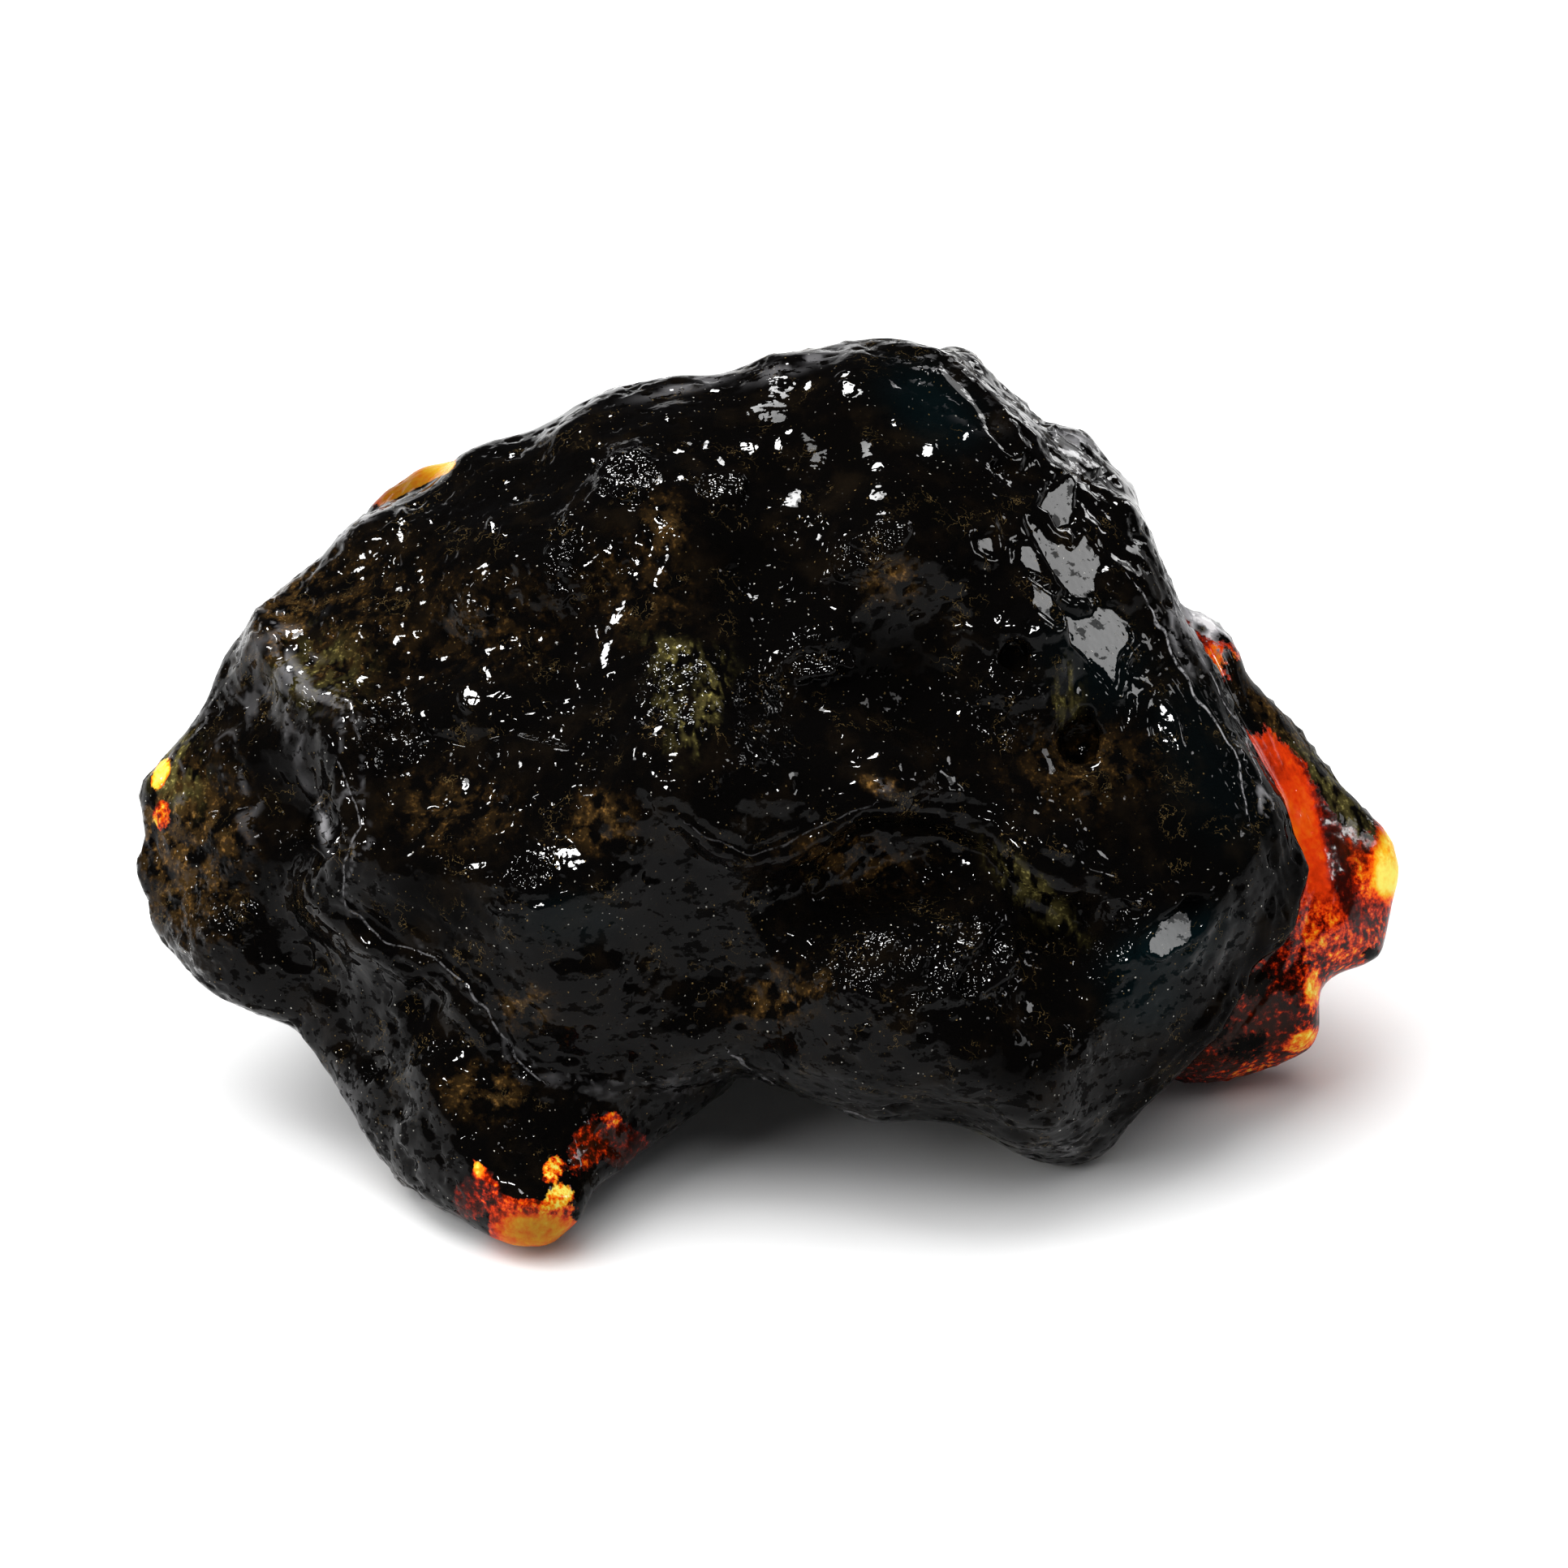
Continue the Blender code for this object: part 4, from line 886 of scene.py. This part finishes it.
CRUST_BLACK = (0.0014, 0.0012, 0.0011, 1.0)
CRUST_BROWN = (0.0054, 0.0037, 0.0022, 1.0)
TEAL = (0.0010, 0.0050, 0.0062, 1.0)
# Painted sheen and a painted white reflection, standing in for light mirrored by the wet skin.
SHEEN_PAINT = (0.30, 0.295, 0.305, 1.0)
WHITE_REFLECTION_PAINT = (0.72, 0.70, 0.71, 1.0)
OCHRE_BROWN = (0.045, 0.025, 0.008, 1.0)
OCHRE_BRIGHT = (0.24, 0.12, 0.030, 1.0)
OLIVE_YELLOW = (0.070, 0.058, 0.018, 1.0)
OLIVE_BRIGHT = (0.34, 0.29, 0.085, 1.0)
# Painted glints: white dots stand in for sparkles of light; the gold dots are partly gold specks,
# partly painted glints, and the gold also colours the threads.
SPARKLE_WHITE = (0.95, 0.92, 0.82, 1.0)
GOLD_SPECK_AND_SPARKLE = (0.36, 0.24, 0.09, 1.0)
GLOW_STOPS = [  # clear amber's colour with its painted glow, from dark to bright
    (0.0, (0.005, 0.0010, 0.0006, 1.0)), (0.22, (0.035, 0.0030, 0.0012, 1.0)),
    (0.40, (0.28, 0.011, 0.0015, 1.0)), (0.55, (0.90, 0.050, 0.003, 1.0)),
    (0.68, (1.0, 0.20, 0.006, 1.0)), (0.84, (1.0, 0.52, 0.02, 1.0)), (1.0, (1.0, 0.86, 0.15, 1.0)),
]
UMBER = (0.05, 0.012, 0.002, 1.0)  # the dark brown that the painted glow is dimmed towards
AMBER_IOR = 1.54
ABSORB_COLOUR = (0.99, 0.82, 0.0, 1.0)
ABSORB_DENSITY = 700.0  # per metre
CRUST_ROUGHNESS, WINDOW_ROUGHNESS = 0.5, 0.12
FILM_IOR = 1.17
FILM_ROUGHNESS = 0.035
MOST_TORN = 0.8  # how much of the film a hole takes away
SHEEN_TORN = 0.45  # how much painted sheen a hole takes away


class Nodes:
    """Short ways to add shader nodes to a tree and link them."""

    def __init__(self, tree):
        self.tree = tree

    def add(self, kind, inputs=(), **settings):
        node = self.tree.nodes.new(kind)
        for name, value in settings.items():
            setattr(node, name, value)
        for name, value in dict(inputs).items():
            self.set(node.inputs[name], value)
        return node

    def set(self, socket, value):
        if isinstance(value, bpy.types.NodeSocket):
            self.tree.links.new(value, socket)
        else:
            socket.default_value = value

    def math(self, operation, first, second=0.0):
        return self.add("ShaderNodeMath", {0: first, 1: second}, operation=operation).outputs[0]

    def plus(self, first, second):
        return self.math("ADD", first, second)

    def minus(self, first, second):
        return self.math("SUBTRACT", first, second)

    def times(self, first, second):
        return self.math("MULTIPLY", first, second)

    def greater(self, first, second):
        return self.math("MAXIMUM", first, second)

    def ease(self, value, low, high):
        return self.add("ShaderNodeMapRange", {"Value": value, "From Min": low, "From Max": high},
                        interpolation_type="SMOOTHSTEP").outputs[0]

    def mix(self, share, first, second):
        """Two colours mixed. The node's colour sockets are its 6th and 7th."""
        return self.add("ShaderNodeMix", {0: share, 6: first, 7: second},
                        data_type="RGBA").outputs[2]


class SkinNodes(Nodes):
    """Nodes for the skin, with its place in drawing units and three sizes of mottling."""

    def __init__(self, tree):
        super().__init__(tree)
        local = self.add("ShaderNodeTexCoord").outputs["Object"]
        self.place = self.add("ShaderNodeVectorMath", {0: local, 1: (1 / METRE,) * 3},
                              operation="MULTIPLY").outputs[0]
        self.coarse = self.noise(3.2, 4.0, 0.6)
        self.middle = self.noise(1.1, 4.0, 0.6)
        self.fine = self.noise(0.35, 3.0, 0.6)

    def zone(self, name):
        return self.add("ShaderNodeAttribute", attribute_name=name).outputs["Fac"]

    def noise(self, size, detail=2.0, roughness=0.5, place=None):
        return self.add("ShaderNodeTexNoise", {"Vector": place or self.place, "Scale": 1 / size,
                        "Detail": detail, "Roughness": roughness}).outputs["Fac"]

    def level_noise(self, size, detail=2.0, roughness=0.5):
        """Noise that swings evenly below and above 0."""
        return self.minus(self.noise(size, detail, roughness), 0.5)

    def stretched(self, scale):
        return self.add("ShaderNodeMapping", {"Vector": self.place, "Scale": scale}).outputs[0]


def sparkle_dots(n, spacing, radius, emptiness):
    """Up to 1 inside small dots of many sizes and brightnesses scattered in the skin, for painted
    sparkles and gold specks.
    """
    wander = n.add("ShaderNodeTexNoise", {"Vector": n.place, "Scale": 1.3 / spacing})
    bent = n.add("ShaderNodeVectorMath",
                 {0: wander.outputs["Color"], 1: (0.5 * spacing,) * 3, 2: n.place},
                 operation="MULTIPLY_ADD").outputs[0]
    grains = n.add("ShaderNodeTexVoronoi", {"Vector": bent, "Scale": 1 / spacing})
    parts = n.add("ShaderNodeSeparateColor", {"Color": grains.outputs["Color"]}).outputs
    reach = n.times(n.ease(parts[0], emptiness, 1.0), radius / spacing)
    inside = n.math("LESS_THAN", grains.outputs["Distance"], reach)
    return n.times(inside, n.math("POWER", parts[1], 1.3))


def film_holes(n):
    """How far the wet film is gone, in ragged holes."""
    ragged = n.noise(0.7, 5.0, 0.62, n.stretched((0.6, 0.9, 1.0)))
    ragged = n.plus(ragged, n.times(n.zone("tear"), 0.055))
    return n.times(n.ease(ragged, 0.555, 0.585), MOST_TORN)


def mottled_crust(n):
    """Black and brown, with teal, ochre and olive patches."""
    crust = n.mix(n.ease(n.coarse, 0.48, 0.78), CRUST_BLACK, CRUST_BROWN)
    crust = n.mix(n.times(n.zone("teal"), 0.8), crust, TEAL)
    specks = n.ease(n.noise(0.32, 2.0, 0.6), 0.50, 0.80)
    ochre = n.times(n.zone("ochre"), n.ease(n.middle, 0.42, 0.62))
    crust = n.mix(n.times(ochre, 0.85), crust, OCHRE_BROWN)
    crust = n.mix(n.times(ochre, specks), crust, OCHRE_BRIGHT)
    streaks = n.noise(0.8, 2.0, 0.6, n.stretched((1.0, 0.55, 0.3)))
    olive = n.times(n.zone("olive"), n.ease(streaks, 0.42, 0.62))
    crust = n.mix(n.times(olive, 0.8), crust, OLIVE_YELLOW)
    return n.mix(n.times(olive, specks), crust, OLIVE_BRIGHT)


def with_painted_sparkles(n, crust):
    """The crust with white dots painted as tiny glints, gold dots that are partly gold specks and
    partly painted glints, fewer under the film, and its gold threads.
    """
    bare = n.minus(1.0, n.times(n.zone("film"), 0.50))
    sparkly = n.times(n.ease(n.noise(2.4, 2.0, 0.6), 0.30, 0.56), bare)
    crust = n.mix(n.times(sparkly, sparkle_dots(n, 0.42, 0.058, 0.25)), crust, SPARKLE_WHITE)
    gilt = n.times(n.ease(n.middle, 0.38, 0.62), n.greater(bare, 0.55))
    crust = n.mix(n.times(gilt, sparkle_dots(n, 0.36, 0.055, 0.15)), crust, GOLD_SPECK_AND_SPARKLE)
    threads = n.ease(n.math("ABSOLUTE", n.level_noise(0.9, 3.0, 0.6)), 0.011, 0.003)
    threads = n.times(threads, n.ease(n.noise(2.6), 0.56, 0.70))
    return n.mix(n.times(threads, 0.22), crust, GOLD_SPECK_AND_SPARKLE)


def with_painted_sheen(n, crust, torn):
    """The crust with painted sheen on its strings and patches, painted highlights along its cracks,
    and a painted white reflection where the sheen is strongest.
    """
    line = n.ease(n.math("ABSOLUTE", n.zone("crack")), 0.085, 0.02)
    broken = n.times(n.zone("crack_sheen"), n.ease(n.fine, 0.35, 0.60))
    painted_sheen = n.minus(n.zone("painted_sheen"), n.times(torn, SHEEN_TORN))
    sheen_level = n.greater(painted_sheen, n.times(line, broken))
    crust = n.mix(n.math("MINIMUM", sheen_level, 1.0), crust, SHEEN_PAINT)
    return n.mix(n.ease(sheen_level, 1.0, 1.8), crust, WHITE_REFLECTION_PAINT)


def window_colour(n):
    """Clear amber's colour with its glow painted in: dark red to yellow, flecked like embers."""
    flecks = n.times(n.level_noise(0.48, 3.0, 0.65), n.times(n.zone("fleck"), 2.4))
    cloud = n.times(n.minus(n.coarse, 0.5), 0.35)
    level = n.plus(n.plus(n.zone("glow"), flecks), cloud)
    ramp = n.add("ShaderNodeValToRGB", {"Fac": level})
    stops = ramp.color_ramp.elements
    stops.remove(stops[1])
    stops[0].color = GLOW_STOPS[0][1]
    for position, colour in GLOW_STOPS[1:]:
        stops.new(position).color = colour
    return n.mix(n.zone("shade"), ramp.outputs["Color"], UMBER)


def window_share(n):
    """1 where a window is open, with ragged edges."""
    ragged = n.plus(n.zone("window"), n.times(n.minus(n.middle, 0.5), 0.8))
    ragged = n.plus(ragged, n.times(n.minus(n.fine, 0.5), 0.7))
    return n.ease(ragged, 0.42, 0.62)


def fine_relief(n):
    """The normal, bent by relief too fine for the mesh: on rough skin and on crumpled glints."""
    grainy = n.plus(n.times(n.noise(0.8, 1.0), 0.20), n.times(n.noise(0.4, 1.0), 0.10))
    grainy = n.times(grainy, n.minus(1.0, n.times(n.zone("film"), 0.90)))
    crumpled = n.math("ABSOLUTE", n.level_noise(0.8, 1.0))
    crumpled = n.times(crumpled, n.times(n.zone("glint"), 0.07))
    height = n.plus(grainy, crumpled)
    bump = n.add("ShaderNodeBump", {"Height": height, "Strength": 1.0, "Distance": METRE})
    return bump.outputs["Normal"]


def film_weight(n, torn):
    """How much wet film is left: less in holes and dry places, but all of it on a glint."""
    off_glint = n.minus(1.0, n.math("MINIMUM", n.zone("glint"), 1.0))
    dry = n.greater(n.times(n.zone("dry"), 0.9), torn)
    return n.minus(1.0, n.times(dry, off_glint))


def amber_material():
    """Dark crust under a wet film, with windows of clear amber."""
    material = bpy.data.materials.new("raw amber")
    material.use_nodes = True
    tree = material.node_tree
    tree.nodes.clear()
    n = SkinNodes(tree)
    torn = film_holes(n)
    crust = with_painted_sheen(n, with_painted_sparkles(n, mottled_crust(n)), torn)
    window = window_share(n)
    smoothing = n.times(window, CRUST_ROUGHNESS - WINDOW_ROUGHNESS)
    normal = fine_relief(n)
    shader = n.add("ShaderNodeBsdfPrincipled", {
        "Base Color": n.mix(window, crust, window_colour(n)),
        "Roughness": n.minus(CRUST_ROUGHNESS, smoothing),
        "IOR": AMBER_IOR,
        "Specular IOR Level": 0.0,
        "Transmission Weight": n.times(window, n.zone("clear")),
        "Coat Weight": film_weight(n, torn),
        "Coat Roughness": FILM_ROUGHNESS,
        "Coat IOR": FILM_IOR,
        "Normal": normal,
        "Coat Normal": normal,
    })
    inside = n.add("ShaderNodeVolumeAbsorption",
                   {"Color": ABSORB_COLOUR, "Density": ABSORB_DENSITY})
    n.add("ShaderNodeOutputMaterial", {"Surface": shader.outputs[0], "Volume": inside.outputs[0]})
    return material


# --- The studio ---

FLOOR_RADIUS = 6.0  # m
FLOOR_WHITE = (0.90, 0.90, 0.90, 1.0)
SKY_LOW = (1.0, 1.0, 1.0, 1.0)
SKY_HIGH = (0.035, 0.036, 0.040, 1.0)
SKY_TURNS = (math.sin(math.radians(3.5)), math.sin(math.radians(7)))  # from white to dark
SKY_LEAN = 0.06  # how much higher the white reaches behind the lump


def make_floor():
    """A matt white disc under the lump."""
    bpy.ops.mesh.primitive_circle_add(vertices=96, radius=FLOOR_RADIUS, fill_type="NGON",
                                      location=(0, 0, BARE_BOX[0].z))
    floor = bpy.context.object
    floor.name = "floor"
    material = bpy.data.materials.new("white floor")
    material.use_nodes = True
    shader = material.node_tree.nodes["Principled BSDF"]
    shader.inputs["Base Color"].default_value = FLOOR_WHITE
    shader.inputs["Roughness"].default_value = 0.9
    shader.inputs["Specular IOR Level"].default_value = 0.0
    floor.data.materials.append(material)


def make_sky():
    """White round the horizon, dark overhead."""
    world = bpy.data.worlds.new("studio")
    bpy.context.scene.world = world
    world.use_nodes = True
    tree = world.node_tree
    tree.nodes.clear()
    n = Nodes(tree)
    direction = n.add("ShaderNodeSeparateXYZ",
                      {0: n.add("ShaderNodeTexCoord").outputs["Generated"]})
    lean = n.times(n.greater(direction.outputs["Y"], 0.0), SKY_LEAN)
    high = n.ease(n.minus(direction.outputs["Z"], lean), *SKY_TURNS)
    background = n.add("ShaderNodeBackground", {"Color": n.mix(high, SKY_LOW, SKY_HIGH)})
    n.add("ShaderNodeOutputWorld", {"Surface": background.outputs[0]})


def make_lamp(name, azimuth, elevation, width, strength):
    """A round softbox far away: azimuth 0 is behind the camera, 90 its right-hand side."""
    lamp = bpy.data.lights.new(name, "SUN")
    lamp.angle = math.radians(width)
    lamp.energy = strength
    thing = bpy.data.objects.new(name, lamp)
    bpy.context.scene.collection.objects.link(thing)
    towards = Vector(lamp_direction(azimuth, elevation))
    thing.rotation_euler = towards.to_track_quat("Z", "Y").to_euler()
    return thing


def make_lamps():
    """Lamps that only glint, as bright as they look, and lamps that only light matt surfaces."""
    for name, azimuth, elevation, width, brightness in [*GLINT_LAMPS, BACK_PANEL]:
        strength = brightness * math.pi * math.sin(math.radians(width / 2)) ** 2
        make_lamp(name, azimuth, elevation, width, strength).visible_diffuse = False
    for row in FLOOR_LAMPS:
        make_lamp(*row).visible_glossy = False


def make_camera():
    """The eye of the drawing."""
    camera = bpy.data.cameras.new("eye")
    camera.sensor_width = 36.0
    camera.lens = camera.sensor_width * EYE_DISTANCE / EYE_FIELD
    thing = bpy.data.objects.new("eye", camera)
    bpy.context.scene.collection.objects.link(thing)
    axes = Matrix(((1, 0, 0), (0, EYE_RISE, EYE_RUN), (0, -EYE_RUN, EYE_RISE))).transposed()
    place = (Vector(eye_place()) - DRAWN_MIDDLE) * METRE
    thing.matrix_world = Matrix.Translation(place) @ axes.to_4x4()
    bpy.context.scene.camera = thing


def main():
    make_lump(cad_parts[NODE])
    make_floor()
    make_sky()
    make_lamps()
    make_camera()
    bpy.context.scene.view_settings.view_transform = "Standard"
    bpy.context.view_layer.update()


main()
